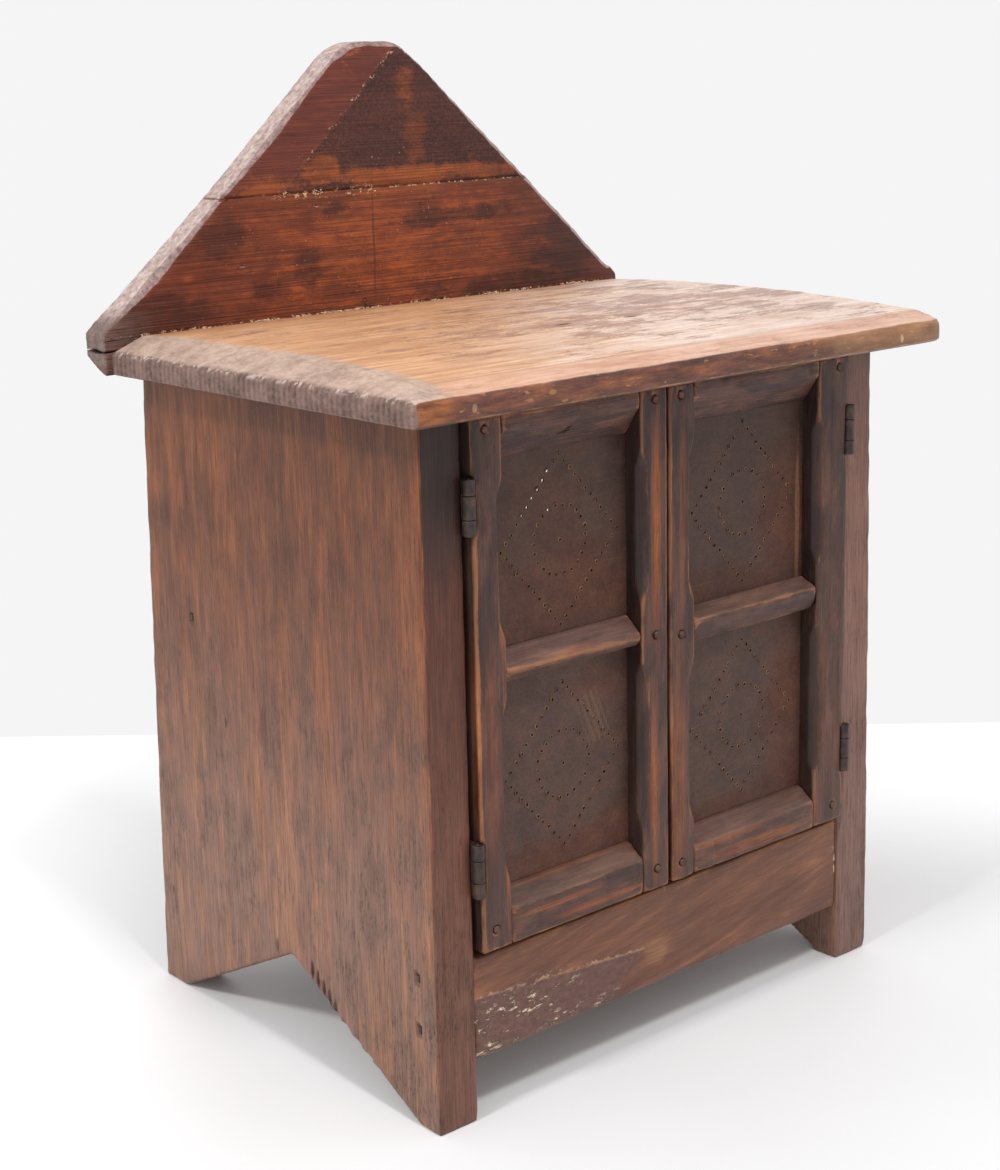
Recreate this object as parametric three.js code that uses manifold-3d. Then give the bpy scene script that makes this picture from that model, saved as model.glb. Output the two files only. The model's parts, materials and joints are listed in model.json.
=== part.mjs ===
// Pie safe: a small cupboard with an open back, two panelled doors with punched tins,
// a peaked back board and sides cut to a V at the foot.
// Millimetres, +Z up, front towards -Y. The origin is under the middle of the whole object.
import * as THREE from 'three';
import { mergeVertices } from 'three/addons/utils/BufferGeometryUtils.js';
import { ConvexGeometry } from 'three/addons/geometries/ConvexGeometry.js';
import Module from 'manifold-3d';

const wasm = await Module();
wasm.setup();

// Clearances, and how finely curves are cut into facets
const gap = 0.3;
const overrun = 5;
const weldShare = 0.001;
const curveSteps = 8;

// Case
const caseWidth = 380;
const caseHeight = 420;
const caseDepthTop = 279.5;
const footFlare = 17;
const sideThick = 29;

// V cut at the foot of each side
const frontFoot = 18.5;
const backFoot = 26.5;
const notchHeight = 66;
const notchShare = 0.482;

// Top board
const leftOverhang = 24;
const rightOverhang = 34;
const topOverhang = 28.7;
const sidesPastTop = 4.7;
const topEdgeThick = 15;
const topStripThick = 19;
const topStripDepth = 21;
const topCrownThick = 25;
const topBackThick = 22.3;
const topNose = 6;
const endBevelWidth = 30;
const endBevelThick = 13.5;

// Gallery: the peaked back board
const galleryOverhang = 4;
const galleryThick = 22.5;
const galleryHeight = 200;
const galleryJoint = 103.5;
const galleryTip = 26;
const galleryPeak = 42;
const galleryPeakOffset = -3.5;
const leftShoulder = 14;
const rightShoulder = 10;
const leftSag = 2.5;
const rightSwell = 2.6;

// Boards between the sides
const apronBottom = 37;
const apronTop = 101;
const apronThick = 19;
const apronSetback = 1;
const floorThick = 20;
const floorClearance = 7;
const shelfHeightShare = 0.532;
const shelfThick = 18;
const shelfClearance = 9;
const housing = 6;

// Doors
const doorBottomGap = 4.5;
const doorTopGap = 3.5;
const doorThick = 21;
const doorProud = 6;
const doorGap = 3;
const meetingGap = 1.6;
const meetingOffset = -6;
const topRailHeight = 26.5;
const tinSetback = 13.5;
const tinThick = 0.8;
const grooveDepth = 4;
const tenonLength = 13;
const tenonThick = 6;
const tenonShoulder = 4;
const leftDoorSizes = {
  side: 'left',
  hingeStile: 22.6,
  meetingStile: 22,
  middleHeightShare: 0.533,
  middleRail: 17.5,
  ridgeRise: 8,
  ridgeFlat: 3,
  bottomRail: 31,
  lowerHingeInset: 35.5,
  upperHingeInset: 32.5,
};
const rightDoorSizes = {
  side: 'right',
  hingeStile: 29,
  meetingStile: 21.7,
  middleHeightShare: 0.512,
  middleRail: 20.5,
  ridgeRise: 15.5,
  ridgeFlat: 4.5,
  bottomRail: 27,
  lowerHingeInset: 32.5,
  upperHingeInset: 32.5,
};

// Worked edges of the door frames
const railLedge = 2;
const topRailSlope = 17;
const bottomRailSlope = 9;
const middleUndercut = 4;
const chamferWidth = 5;
const chamferDepth = 6;
const chamferStop = 6;
const chamferRunout = 14;

// Punched pattern on each tin, made with one template that fits the smallest panel
const holeRadius = 1.1;
const holeSides = 6;
const diamondWidthShare = 0.853;
const diamondHeightShare = 0.918;
const holesPerDiamondSide = 11;
const ringShare = 0.45;
const ringHoles = 22;

// Hinges
const hingeHeight = 32;
const hingeRadius = 4;
const hingePinRadius = 1.4;
const leafThick = 1.2;
const leafDepth = 15;
const middleKnuckleShare = 0.42;
const hingeSides = 12;

// Pegs and nails
const pegRadius = 2.2;
const pegStop = 4;
const pegProud = 0.8;
const pegSides = 8;
const pegInset = 10;
const nailWidth = 2.6;
const nailHeight = 4.6;
const nailBite = 17;
const nailSink = 0.5;
const apronNailHeightShares = [0.39, 0.89];
const apronNailDepthShare = 0.76;
const shelfNailHeightShare = 0.71;
const shelfNailDepthShare = 0.844;
const galleryNailShare = 0.336;
const galleryNailRise = 8;
const galleryNailBite = 15.5;

// Places worked out from the sizes
const topLength = leftOverhang + caseWidth + rightOverhang;
const topDepth = topOverhang + caseDepthTop - sidesPastTop;
const caseDepthFoot = caseDepthTop + footFlare;
const galleryLength = topLength + 2 * galleryOverhang;
const caseOffset = (leftOverhang - rightOverhang) / 2;
const frontY = -(topDepth + galleryThick) / 2;
const backY = -frontY;
const topBackY = frontY + topDepth;
const caseFrontY = frontY + topOverhang;
const leftOuter = caseOffset - caseWidth / 2;
const rightOuter = caseOffset + caseWidth / 2;
const leftInner = leftOuter + sideThick;
const rightInner = rightOuter - sideThick;
const doorFrontY = caseFrontY - doorProud;
const doorBackY = doorFrontY + doorThick;
const tinFrontY = doorFrontY + tinSetback;
const meetingX = caseOffset + meetingOffset;
const pinY = caseFrontY - gap - hingeRadius;
const doorBottom = apronTop + doorBottomGap;
const doorTop = caseHeight - doorTopGap;
const shelfTop = doorBottom + shelfHeightShare * (doorTop - doorBottom);
const apronBackY = caseFrontY + apronSetback + apronThick;

// Surface finishes, one for each kind of wood or metal
const finishes = {
  sideWood: { color: 0x6b3f26, roughness: 0.6, metalness: 0 },
  topWood: { color: 0xa0683f, roughness: 0.55, metalness: 0 },
  galleryWood: { color: 0x5b2a1a, roughness: 0.5, metalness: 0 },
  doorWood: { color: 0x47332b, roughness: 0.6, metalness: 0 },
  insideWood: { color: 0x5a4030, roughness: 0.8, metalness: 0 },
  tin: { color: 0x4a3b34, roughness: 0.55, metalness: 0.6 },
  iron: { color: 0x3a302c, roughness: 0.6, metalness: 0.7 },
};

const pieSafe = new THREE.Group();

function addPiece(name, geometry, finish) {
  const material = new THREE.MeshStandardMaterial(finishes[finish]);
  const mesh = new THREE.Mesh(geometry, material);
  mesh.name = name;
  pieSafe.add(mesh);
}

// Solids

function toSolid(geometry) {
  const bare = geometry.clone();
  bare.deleteAttribute('normal');
  bare.deleteAttribute('uv');
  const merged = mergeVertices(bare, gap * weldShare);
  const mesh = new wasm.Mesh({
    numProp: 3,
    vertProperties: new Float32Array(merged.attributes.position.array),
    triVerts: new Uint32Array(merged.index.array),
  });
  return new wasm.Manifold(mesh);
}

function toGeometry(solid) {
  const mesh = solid.getMesh();
  const geometry = new THREE.BufferGeometry();
  geometry.setAttribute('position', new THREE.BufferAttribute(mesh.vertProperties, 3));
  geometry.setIndex(new THREE.BufferAttribute(mesh.triVerts, 1));
  geometry.computeVertexNormals();
  return geometry;
}

function join(base, added) {
  let solid = toSolid(base);
  for (const geometry of added) solid = solid.add(toSolid(geometry));
  return toGeometry(solid);
}

function cut(base, cutters) {
  let solid = toSolid(base);
  for (const geometry of cutters) solid = solid.subtract(toSolid(geometry));
  return toGeometry(solid);
}

function common(base, other) {
  return toGeometry(toSolid(base).intersect(toSolid(other)));
}

// A box between two corners
function block(x0, x1, y0, y1, z0, z1) {
  const box = new THREE.BoxGeometry(x1 - x0, y1 - y0, z1 - z0);
  return box.translate((x0 + x1) / 2, (y0 + y1) / 2, (z0 + z1) / 2);
}

// An outline drawn in Y and Z, run along X
function prismAlongX(shape, x0, x1) {
  const options = { depth: x1 - x0, bevelEnabled: false, curveSegments: curveSteps };
  const geometry = new THREE.ExtrudeGeometry(shape, options);
  const turn = new THREE.Matrix4().makeBasis(
    new THREE.Vector3(0, 1, 0),
    new THREE.Vector3(0, 0, 1),
    new THREE.Vector3(1, 0, 0),
  );
  return geometry.applyMatrix4(turn).translate(x0, 0, 0);
}

// An outline drawn in X and Z, run along Y
function prismAlongY(shape, y0, y1) {
  const options = { depth: y1 - y0, bevelEnabled: false, curveSegments: curveSteps };
  const geometry = new THREE.ExtrudeGeometry(shape, options);
  const turn = new THREE.Matrix4().makeBasis(
    new THREE.Vector3(1, 0, 0),
    new THREE.Vector3(0, 0, 1),
    new THREE.Vector3(0, -1, 0),
  );
  return geometry.applyMatrix4(turn).translate(0, y1, 0);
}

function polygon(points) {
  const shape = new THREE.Shape();
  shape.moveTo(points[0][0], points[0][1]);
  for (const point of points.slice(1)) shape.lineTo(point[0], point[1]);
  return shape;
}

function convexBlock(points) {
  return new ConvexGeometry(points.map((point) => new THREE.Vector3(...point)));
}

function rodAlongY(radius, x, z, y0, y1, sides) {
  const rod = new THREE.CylinderGeometry(radius, radius, y1 - y0, sides);
  return rod.translate(0, (y0 + y1) / 2, 0).translate(x, 0, z);
}

function rodAlongZ(radius, x, y, z0, z1, sides) {
  const rod = new THREE.CylinderGeometry(radius, radius, z1 - z0, sides);
  return rod.rotateX(Math.PI / 2).translate(x, y, (z0 + z1) / 2);
}

// Nails: each is a square shank, driven from a face; the hole it fills is a little larger

function nailAlongX(direction, faceX, y, z, length, grow) {
  const start = faceX + direction * (nailSink - (grow ? overrun : 0));
  const end = faceX + direction * (length + grow);
  const halfWidth = nailWidth / 2 + grow;
  const halfHeight = nailHeight / 2 + grow;
  const x0 = Math.min(start, end);
  const x1 = Math.max(start, end);
  return block(x0, x1, y - halfWidth, y + halfWidth, z - halfHeight, z + halfHeight);
}

function nailAlongY(faceY, x, z, length, grow) {
  const start = faceY - nailSink + (grow ? overrun : 0);
  const halfWidth = nailWidth / 2 + grow;
  const halfHeight = nailHeight / 2 + grow;
  return block(x - halfWidth, x + halfWidth, faceY - length - grow, start, z - halfHeight, z + halfHeight);
}

const nailLength = sideThick + nailBite;
const sideNails = [];
for (const [index, share] of apronNailHeightShares.entries()) {
  const y = apronBackY - apronThick * (1 - apronNailDepthShare);
  const z = apronBottom + share * (apronTop - apronBottom);
  sideNails.push({ name: `apron_nail_${index + 1}`, y, z });
}
sideNails.push({
  name: 'shelf_nail',
  y: caseFrontY + shelfNailDepthShare * caseDepthTop,
  z: shelfTop - shelfThick * (1 - shelfNailHeightShare),
});

function sideNailGeometries(grow) {
  const geometries = [];
  for (const nail of sideNails) {
    geometries.push(nailAlongX(1, leftOuter, nail.y, nail.z, nailLength, grow));
    geometries.push(nailAlongX(-1, rightOuter, nail.y, nail.z, nailLength, grow));
  }
  return geometries;
}

// Sides, wider at the foot, with a V cut between the front and back feet
function sideOutline() {
  return polygon([
    [caseFrontY, 0],
    [caseFrontY + frontFoot, 0],
    [caseFrontY + notchShare * caseDepthFoot, notchHeight],
    [caseFrontY + caseDepthFoot - backFoot, 0],
    [caseFrontY + caseDepthFoot, 0],
    [caseFrontY + caseDepthTop, caseHeight],
    [caseFrontY, caseHeight],
  ]);
}

function floorBoard(grow) {
  const x0 = leftInner - housing - grow;
  const x1 = rightInner + housing + grow;
  const y0 = doorBackY + floorClearance - grow;
  const y1 = caseFrontY + caseDepthTop + (grow ? overrun * 2 : 0);
  return block(x0, x1, y0, y1, apronTop - grow, apronTop + floorThick + grow);
}

function shelfBoard(grow) {
  const x0 = leftInner - housing - grow;
  const x1 = rightInner + housing + grow;
  const y0 = doorBackY + shelfClearance - grow;
  const y1 = caseFrontY + caseDepthTop + (grow ? overrun * 2 : 0);
  return block(x0, x1, y0, y1, shelfTop - shelfThick - grow, shelfTop + grow);
}

function makeCase() {
  const cutters = [floorBoard(gap), shelfBoard(gap), ...sideNailGeometries(gap)];
  addPiece('left_side', cut(prismAlongX(sideOutline(), leftOuter, leftInner), cutters), 'sideWood');
  addPiece('right_side', cut(prismAlongX(sideOutline(), rightInner, rightOuter), cutters), 'sideWood');
  const apronY = apronBackY - apronThick;
  const apron = block(leftInner, rightInner, apronY, apronBackY, apronBottom, apronTop);
  addPiece('apron', cut(apron, sideNailGeometries(gap)), 'sideWood');
  addPiece('floor_board', floorBoard(0), 'insideWood');
  addPiece('middle_shelf', cut(shelfBoard(0), sideNailGeometries(gap)), 'insideWood');
  for (const nail of sideNails) {
    addPiece(`left_${nail.name}`, nailAlongX(1, leftOuter, nail.y, nail.z, nailLength, 0), 'iron');
    addPiece(`right_${nail.name}`, nailAlongX(-1, rightOuter, nail.y, nail.z, nailLength, 0), 'iron');
  }
}

// Nails that hold the gallery to the back edge of the top
const galleryNailSpacing = galleryNailShare * galleryLength;
const galleryNailLength = galleryThick + galleryNailBite;
const galleryNails = [
  { name: 'gallery_nail_left', x: -galleryNailSpacing },
  { name: 'gallery_nail_middle', x: 0 },
  { name: 'gallery_nail_right', x: galleryNailSpacing },
];

function galleryNailGeometries(grow) {
  const z = caseHeight + galleryNailRise;
  return galleryNails.map((nail) => nailAlongY(backY, nail.x, z, galleryNailLength, grow));
}

// Top board: crowned across its depth, with a long bevel at the front and one at the left end
function topOutline() {
  const z = caseHeight;
  const stripY = frontY + topStripDepth;
  const crownPull = 2 * topCrownThick - (topBackThick + topStripThick) / 2;
  const shape = new THREE.Shape();
  shape.moveTo(frontY + topNose / 2, z);
  shape.lineTo(topBackY, z);
  shape.lineTo(topBackY, z + topBackThick);
  shape.quadraticCurveTo((topBackY + stripY) / 2, z + crownPull, stripY, z + topStripThick);
  shape.lineTo(frontY + topNose, z + topEdgeThick);
  shape.quadraticCurveTo(frontY, z + topEdgeThick, frontY, z + topEdgeThick - topNose);
  shape.lineTo(frontY, z + topNose / 2);
  shape.quadraticCurveTo(frontY, z, frontY + topNose / 2, z);
  return shape;
}

function leftEndBevel() {
  const leftX = -topLength / 2;
  const lowZ = caseHeight + endBevelThick;
  const highZ = caseHeight + topCrownThick;
  const rise = (highZ - lowZ) * overrun / endBevelWidth;
  const wedge = polygon([
    [leftX - overrun, lowZ - rise],
    [leftX + endBevelWidth + overrun, highZ + rise],
    [leftX - overrun, highZ + rise],
  ]);
  return prismAlongY(wedge, frontY - overrun, topBackY + overrun);
}

function makeTop() {
  const board = prismAlongX(topOutline(), -topLength / 2, topLength / 2);
  addPiece('top_board', cut(board, [leftEndBevel(), ...galleryNailGeometries(gap)]), 'topWood');
}

// Where a slope of the gallery leaves its rounded shoulder, and how far it bows outwards
function slopeEnd(cornerX, endX, peakZ, tipZ, shoulder, bow) {
  const run = endX - cornerX;
  const fall = peakZ - tipZ;
  const length = Math.hypot(run, fall);
  const x = cornerX + (shoulder * run) / length;
  const z = peakZ - (shoulder * fall) / length;
  const outX = (Math.sign(run) * fall) / length;
  const outZ = Math.abs(run) / length;
  return {
    x,
    z,
    bowX: (endX + x) / 2 + 2 * bow * outX,
    bowZ: (tipZ + z) / 2 + 2 * bow * outZ,
  };
}

// Gallery: one peaked outline, sawn out of two boards that are joined edge to edge
function galleryOutline() {
  const z0 = caseHeight;
  const tipZ = z0 + galleryTip;
  const peakZ = z0 + galleryHeight;
  const endX = galleryLength / 2;
  const rightCornerX = galleryPeakOffset + galleryPeak / 2;
  const leftCornerX = galleryPeakOffset - galleryPeak / 2;
  const right = slopeEnd(rightCornerX, endX, peakZ, tipZ, rightShoulder, rightSwell);
  const left = slopeEnd(leftCornerX, -endX, peakZ, tipZ, leftShoulder, -leftSag);
  const shape = new THREE.Shape();
  shape.moveTo(-endX, z0);
  shape.lineTo(endX, z0);
  shape.lineTo(endX, tipZ);
  shape.quadraticCurveTo(right.bowX, right.bowZ, right.x, right.z);
  shape.quadraticCurveTo(rightCornerX, peakZ, rightCornerX - rightShoulder, peakZ);
  shape.lineTo(leftCornerX + leftShoulder, peakZ);
  shape.quadraticCurveTo(leftCornerX, peakZ, left.x, left.z);
  shape.quadraticCurveTo(left.bowX, left.bowZ, -endX, tipZ);
  return shape;
}

function makeGallery() {
  const whole = prismAlongY(galleryOutline(), topBackY, backY);
  const reach = galleryLength / 2 + overrun;
  const jointZ = caseHeight + galleryJoint;
  const topZ = caseHeight + galleryHeight + overrun;
  const below = block(-reach, reach, topBackY - overrun, backY + overrun, caseHeight - overrun, jointZ);
  const above = block(-reach, reach, topBackY - overrun, backY + overrun, jointZ, topZ);
  addPiece('gallery_lower_board', cut(common(whole, below), galleryNailGeometries(gap)), 'galleryWood');
  addPiece('gallery_upper_board', common(whole, above), 'galleryWood');
  const nailGeometries = galleryNailGeometries(0);
  for (const [index, nail] of galleryNails.entries()) addPiece(nail.name, nailGeometries[index], 'iron');
}

// Doors. Each frame is worked out from its own sizes; "inner" is the side away from the hinge.
function doorPlan(sizes) {
  const left = sizes.side === 'left';
  const x0 = left ? leftInner + doorGap : meetingX + meetingGap / 2;
  const x1 = left ? meetingX - meetingGap / 2 : rightInner - doorGap;
  const leftStile = left ? sizes.hingeStile : sizes.meetingStile;
  const rightStile = left ? sizes.meetingStile : sizes.hingeStile;
  const middleZ = doorBottom + sizes.middleHeightShare * (doorTop - doorBottom);
  return {
    ...sizes,
    left,
    x0,
    x1,
    railX0: x0 + leftStile,
    railX1: x1 - rightStile,
    middleZ0: middleZ - sizes.middleRail / 2,
    middleZ1: middleZ + sizes.middleRail / 2,
    bottomZ1: doorBottom + sizes.bottomRail,
    topZ0: doorTop - topRailHeight,
    pinX: left ? leftInner + doorGap / 2 : rightInner - doorGap / 2,
    hingeBottoms: [doorBottom + sizes.lowerHingeInset, doorTop - sizes.upperHingeInset - hingeHeight],
  };
}

// Sections of the rails, in Y and Z, with the faces that slope back to the tin

function topRailSection(door) {
  const ledgeY = tinFrontY - railLedge;
  return polygon([
    [doorFrontY, doorTop],
    [doorFrontY, door.topZ0 + topRailSlope],
    [ledgeY, door.topZ0],
    [doorBackY, door.topZ0],
    [doorBackY, doorTop],
  ]);
}

function middleRailSection(door) {
  const ridgeZ = door.middleZ0 + door.ridgeRise;
  return polygon([
    [doorFrontY, ridgeZ],
    [doorFrontY, ridgeZ - door.ridgeFlat],
    [doorFrontY + middleUndercut, door.middleZ0],
    [doorBackY, door.middleZ0],
    [doorBackY, door.middleZ1],
    [tinFrontY - railLedge, door.middleZ1],
  ]);
}

function bottomRailSection(door) {
  return polygon([
    [doorFrontY, doorBottom],
    [doorBackY, doorBottom],
    [doorBackY, door.bottomZ1],
    [tinFrontY - railLedge, door.bottomZ1],
    [doorFrontY, door.bottomZ1 - bottomRailSlope],
  ]);
}

// Tenon at each end of a rail, in the thickness behind the tin's groove
function tenon(door, atLeft, z0, z1, grow) {
  const x0 = atLeft ? door.railX0 - tenonLength - grow : door.railX1 - overrun;
  const x1 = atLeft ? door.railX0 + overrun : door.railX1 + tenonLength + grow;
  const middleY = (tinFrontY - railLedge + doorFrontY) / 2;
  const half = tenonThick / 2 + grow;
  const low = z0 + tenonShoulder - grow;
  const high = z1 - tenonShoulder + grow;
  return block(x0, x1, middleY - half, middleY + half, low, high);
}

function railSpans(door) {
  return {
    top: [door.topZ0 + topRailSlope - tenonShoulder, doorTop],
    middle: [door.middleZ0, door.middleZ0 + door.ridgeRise + tenonShoulder / 2],
    bottom: [doorBottom, door.bottomZ1 - bottomRailSlope + tenonShoulder],
  };
}

function tinPlate(door, z0, z1, grow) {
  const x0 = door.railX0 - grooveDepth - grow;
  const x1 = door.railX1 + grooveDepth + grow;
  const front = tinFrontY - grow;
  const back = tinFrontY + tinThick + grow;
  return block(x0, x1, front, back, z0 - grooveDepth - grow, z1 + grooveDepth + grow);
}

function tinPlates(door, grow) {
  return [
    tinPlate(door, door.middleZ1, door.topZ0, grow),
    tinPlate(door, door.bottomZ1, door.middleZ0, grow),
  ];
}

// Pegs: one through each tenon near a corner, and one at the middle of the meeting stile
function pegPlaces(door) {
  const spans = railSpans(door);
  const hingeX = door.left ? door.x0 + pegInset : door.x1 - pegInset;
  const meetingPegX = door.left ? door.x1 - pegInset : door.x0 + pegInset;
  const middleOf = (span) => (span[0] + span[1]) / 2;
  return [
    { name: 'hinge_top_peg', x: hingeX, z: middleOf(spans.top) },
    { name: 'hinge_bottom_peg', x: hingeX, z: middleOf(spans.bottom) },
    { name: 'meeting_top_peg', x: meetingPegX, z: middleOf(spans.top) },
    { name: 'meeting_middle_peg', x: meetingPegX, z: middleOf(spans.middle) },
    { name: 'meeting_bottom_peg', x: meetingPegX, z: middleOf(spans.bottom) },
  ];
}

function pegGeometries(door, grow) {
  const y0 = doorFrontY - pegProud - (grow ? overrun : 0);
  const y1 = doorBackY - pegStop + grow;
  return pegPlaces(door).map((peg) => rodAlongY(pegRadius + grow, peg.x, peg.z, y0, y1, pegSides));
}

// Chamfer on the inner front edge of a stile, run out to nothing before each rail
function chamferCutter(edgeX, into, z0, z1) {
  const points = [];
  const faceX = edgeX + into * chamferWidth;
  const overX = edgeX - into * chamferWidth;
  const backY0 = doorFrontY + chamferDepth;
  const overY = doorFrontY - chamferDepth;
  for (const z of [z0 + chamferStop + chamferRunout, z1 - chamferStop - chamferRunout]) {
    points.push([faceX, doorFrontY, z]);
    points.push([edgeX, backY0, z]);
  }
  for (const z of [z0 + chamferStop, z1 - chamferStop]) {
    points.push([edgeX, doorFrontY, z]);
    points.push([overX, doorFrontY + chamferDepth, z]);
    points.push([faceX, overY, z]);
    points.push([overX, overY, z]);
  }
  return convexBlock(points);
}

function stileChamfers(door, edgeX, into) {
  return [
    chamferCutter(edgeX, into, door.middleZ1, door.topZ0),
    chamferCutter(edgeX, into, door.bottomZ1, door.middleZ0),
  ];
}

// Hinges. The case leaf has the outer knuckles and the door leaf has the middle one.

function knuckleSpans(z0) {
  const middle = hingeHeight * middleKnuckleShare;
  const outer = (hingeHeight - middle) / 2;
  return {
    lower: [z0, z0 + outer - gap / 2],
    middle: [z0 + outer + gap / 2, z0 + outer + middle - gap / 2],
    upper: [z0 + outer + middle + gap / 2, z0 + hingeHeight],
  };
}

function leafWithKnuckles(door, z0, onDoor) {
  const spans = knuckleSpans(z0);
  const toDoor = door.left ? 1 : -1;
  const direction = onDoor ? toDoor : -toDoor;
  const wallX = door.pinX + direction * doorGap / 2;
  const faceX = wallX - direction * leafThick;
  const plateX0 = Math.min(wallX, faceX);
  const plateX1 = Math.max(wallX, faceX);
  const plateY0 = pinY + hingeRadius + gap;
  const own = onDoor ? [spans.middle] : [spans.lower, spans.upper];
  const plate = block(plateX0, plateX1, plateY0, pinY + leafDepth, z0, z0 + hingeHeight);
  const added = [];
  for (const [low, high] of own) {
    added.push(rodAlongZ(hingeRadius, door.pinX, pinY, low, high, hingeSides));
    added.push(block(plateX0, plateX1, pinY, plateY0 + gap, low, high));
  }
  const boreRadius = hingePinRadius + gap / 3;
  const boreTop = z0 + hingeHeight + overrun;
  const bore = rodAlongZ(boreRadius, door.pinX, pinY, z0 - overrun, boreTop, hingeSides);
  return cut(join(plate, added), [bore]);
}

// Room for the knuckles in the edge of the door
function knuckleRooms(door) {
  const radius = hingeRadius + gap;
  const sides = hingeSides * 2;
  return door.hingeBottoms.map((z0) => {
    const top = z0 + hingeHeight + gap;
    return rodAlongZ(radius, door.pinX, pinY, z0 - gap, top, sides);
  });
}

function makeHinges(door) {
  const levels = ['lower', 'upper'];
  for (const [index, z0] of door.hingeBottoms.entries()) {
    const name = `${door.side}_${levels[index]}_hinge`;
    addPiece(`${name}_case_leaf`, leafWithKnuckles(door, z0, false), 'iron');
    addPiece(`${name}_door_leaf`, leafWithKnuckles(door, z0, true), 'iron');
    const pin = rodAlongZ(hingePinRadius, door.pinX, pinY, z0 - gap, z0 + hingeHeight + gap, hingeSides);
    addPiece(`${name}_pin`, pin, 'iron');
  }
}

function makeStile(door, name, x0, x1, atLeft) {
  const spans = railSpans(door);
  const edgeX = atLeft ? x1 : x0;
  const cutters = [
    ...stileChamfers(door, edgeX, atLeft ? -1 : 1),
    ...Object.values(spans).map((span) => tenon(door, atLeft, span[0], span[1], gap)),
    ...tinPlates(door, gap),
    ...pegGeometries(door, gap),
    ...knuckleRooms(door),
  ];
  const stile = block(x0, x1, doorFrontY, doorBackY, doorBottom, doorTop);
  addPiece(`${door.side}_${name}`, cut(stile, cutters), 'doorWood');
}

function makeRail(door, name, section, span) {
  const body = prismAlongX(section, door.railX0, door.railX1);
  const tenons = [tenon(door, true, span[0], span[1], 0), tenon(door, false, span[0], span[1], 0)];
  const cutters = [...tinPlates(door, gap), ...pegGeometries(door, gap)];
  addPiece(`${door.side}_${name}`, cut(join(body, tenons), cutters), 'doorWood');
}

// Punched pattern: a diamond of holes round a ring, with one hole at the middle
function patternPoints() {
  const doors = [doorPlan(leftDoorSizes), doorPlan(rightDoorSizes)];
  const widths = doors.map((door) => door.railX1 - door.railX0);
  const heights = doors.flatMap((door) => [door.topZ0 - door.middleZ1, door.middleZ0 - door.bottomZ1]);
  const diamondHalfWidth = (diamondWidthShare * Math.min(...widths)) / 2;
  const diamondHalfHeight = (diamondHeightShare * Math.min(...heights)) / 2;
  const ringRadius = ringShare * diamondHalfWidth;
  const points = [[0, 0]];
  for (let i = 0; i < ringHoles; i += 1) {
    const angle = (i / ringHoles) * 2 * Math.PI;
    points.push([ringRadius * Math.cos(angle), ringRadius * Math.sin(angle)]);
  }
  const corners = [
    [diamondHalfWidth, 0],
    [0, diamondHalfHeight],
    [-diamondHalfWidth, 0],
    [0, -diamondHalfHeight],
  ];
  for (const [index, corner] of corners.entries()) {
    const next = corners[(index + 1) % corners.length];
    for (let i = 0; i < holesPerDiamondSide; i += 1) {
      const share = i / holesPerDiamondSide;
      const x = corner[0] + share * (next[0] - corner[0]);
      const z = corner[1] + share * (next[1] - corner[1]);
      points.push([x, z]);
    }
  }
  return points;
}

function makeTin(door, name, z0, z1) {
  const x0 = door.railX0 - grooveDepth;
  const x1 = door.railX1 + grooveDepth;
  const centreX = (x0 + x1) / 2;
  const centreZ = (z0 + z1) / 2;
  const shape = polygon([
    [x0, z0 - grooveDepth],
    [x1, z0 - grooveDepth],
    [x1, z1 + grooveDepth],
    [x0, z1 + grooveDepth],
  ]);
  for (const [x, z] of patternPoints()) {
    const hole = new THREE.Path();
    for (let i = 0; i <= holeSides; i += 1) {
      const angle = -(i / holeSides) * 2 * Math.PI;
      const holeX = centreX + x + holeRadius * Math.cos(angle);
      const holeZ = centreZ + z + holeRadius * Math.sin(angle);
      if (i === 0) hole.moveTo(holeX, holeZ);
      else hole.lineTo(holeX, holeZ);
    }
    shape.holes.push(hole);
  }
  addPiece(`${door.side}_${name}`, prismAlongY(shape, tinFrontY, tinFrontY + tinThick), 'tin');
}

function makeDoor(sizes) {
  const door = doorPlan(sizes);
  const spans = railSpans(door);
  const leftName = door.left ? 'hinge_stile' : 'meeting_stile';
  const rightName = door.left ? 'meeting_stile' : 'hinge_stile';
  makeStile(door, leftName, door.x0, door.railX0, true);
  makeStile(door, rightName, door.railX1, door.x1, false);
  makeRail(door, 'top_rail', topRailSection(door), spans.top);
  makeRail(door, 'middle_rail', middleRailSection(door), spans.middle);
  makeRail(door, 'bottom_rail', bottomRailSection(door), spans.bottom);
  makeTin(door, 'upper_tin', door.middleZ1, door.topZ0);
  makeTin(door, 'lower_tin', door.bottomZ1, door.middleZ0);
  const places = pegPlaces(door);
  const pegs = pegGeometries(door, 0);
  for (const [index, place] of places.entries()) {
    addPiece(`${door.side}_${place.name}`, pegs[index], 'doorWood');
  }
  makeHinges(door);
}

makeCase();
makeTop();
makeGallery();
makeDoor(leftDoorSizes);
makeDoor(rightDoorSizes);

export default pieSafe;
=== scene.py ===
# %% [markdown]
# # A small pie safe, dressed in Blender
#
# The real object is a table-top food cupboard of old pine: thick side boards, a crowned top,
# a peaked back board, and two small doors with punched tin panels. Its main forms are already
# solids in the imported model. Here each board gets its worn skin, each tin its dents and burred
# holes, and every finish is mixed from nodes, so that the part looks used for a lifetime.

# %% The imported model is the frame
import bmesh
import bpy
import json
import math
import numpy as np
from mathutils import Matrix, Vector

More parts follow.
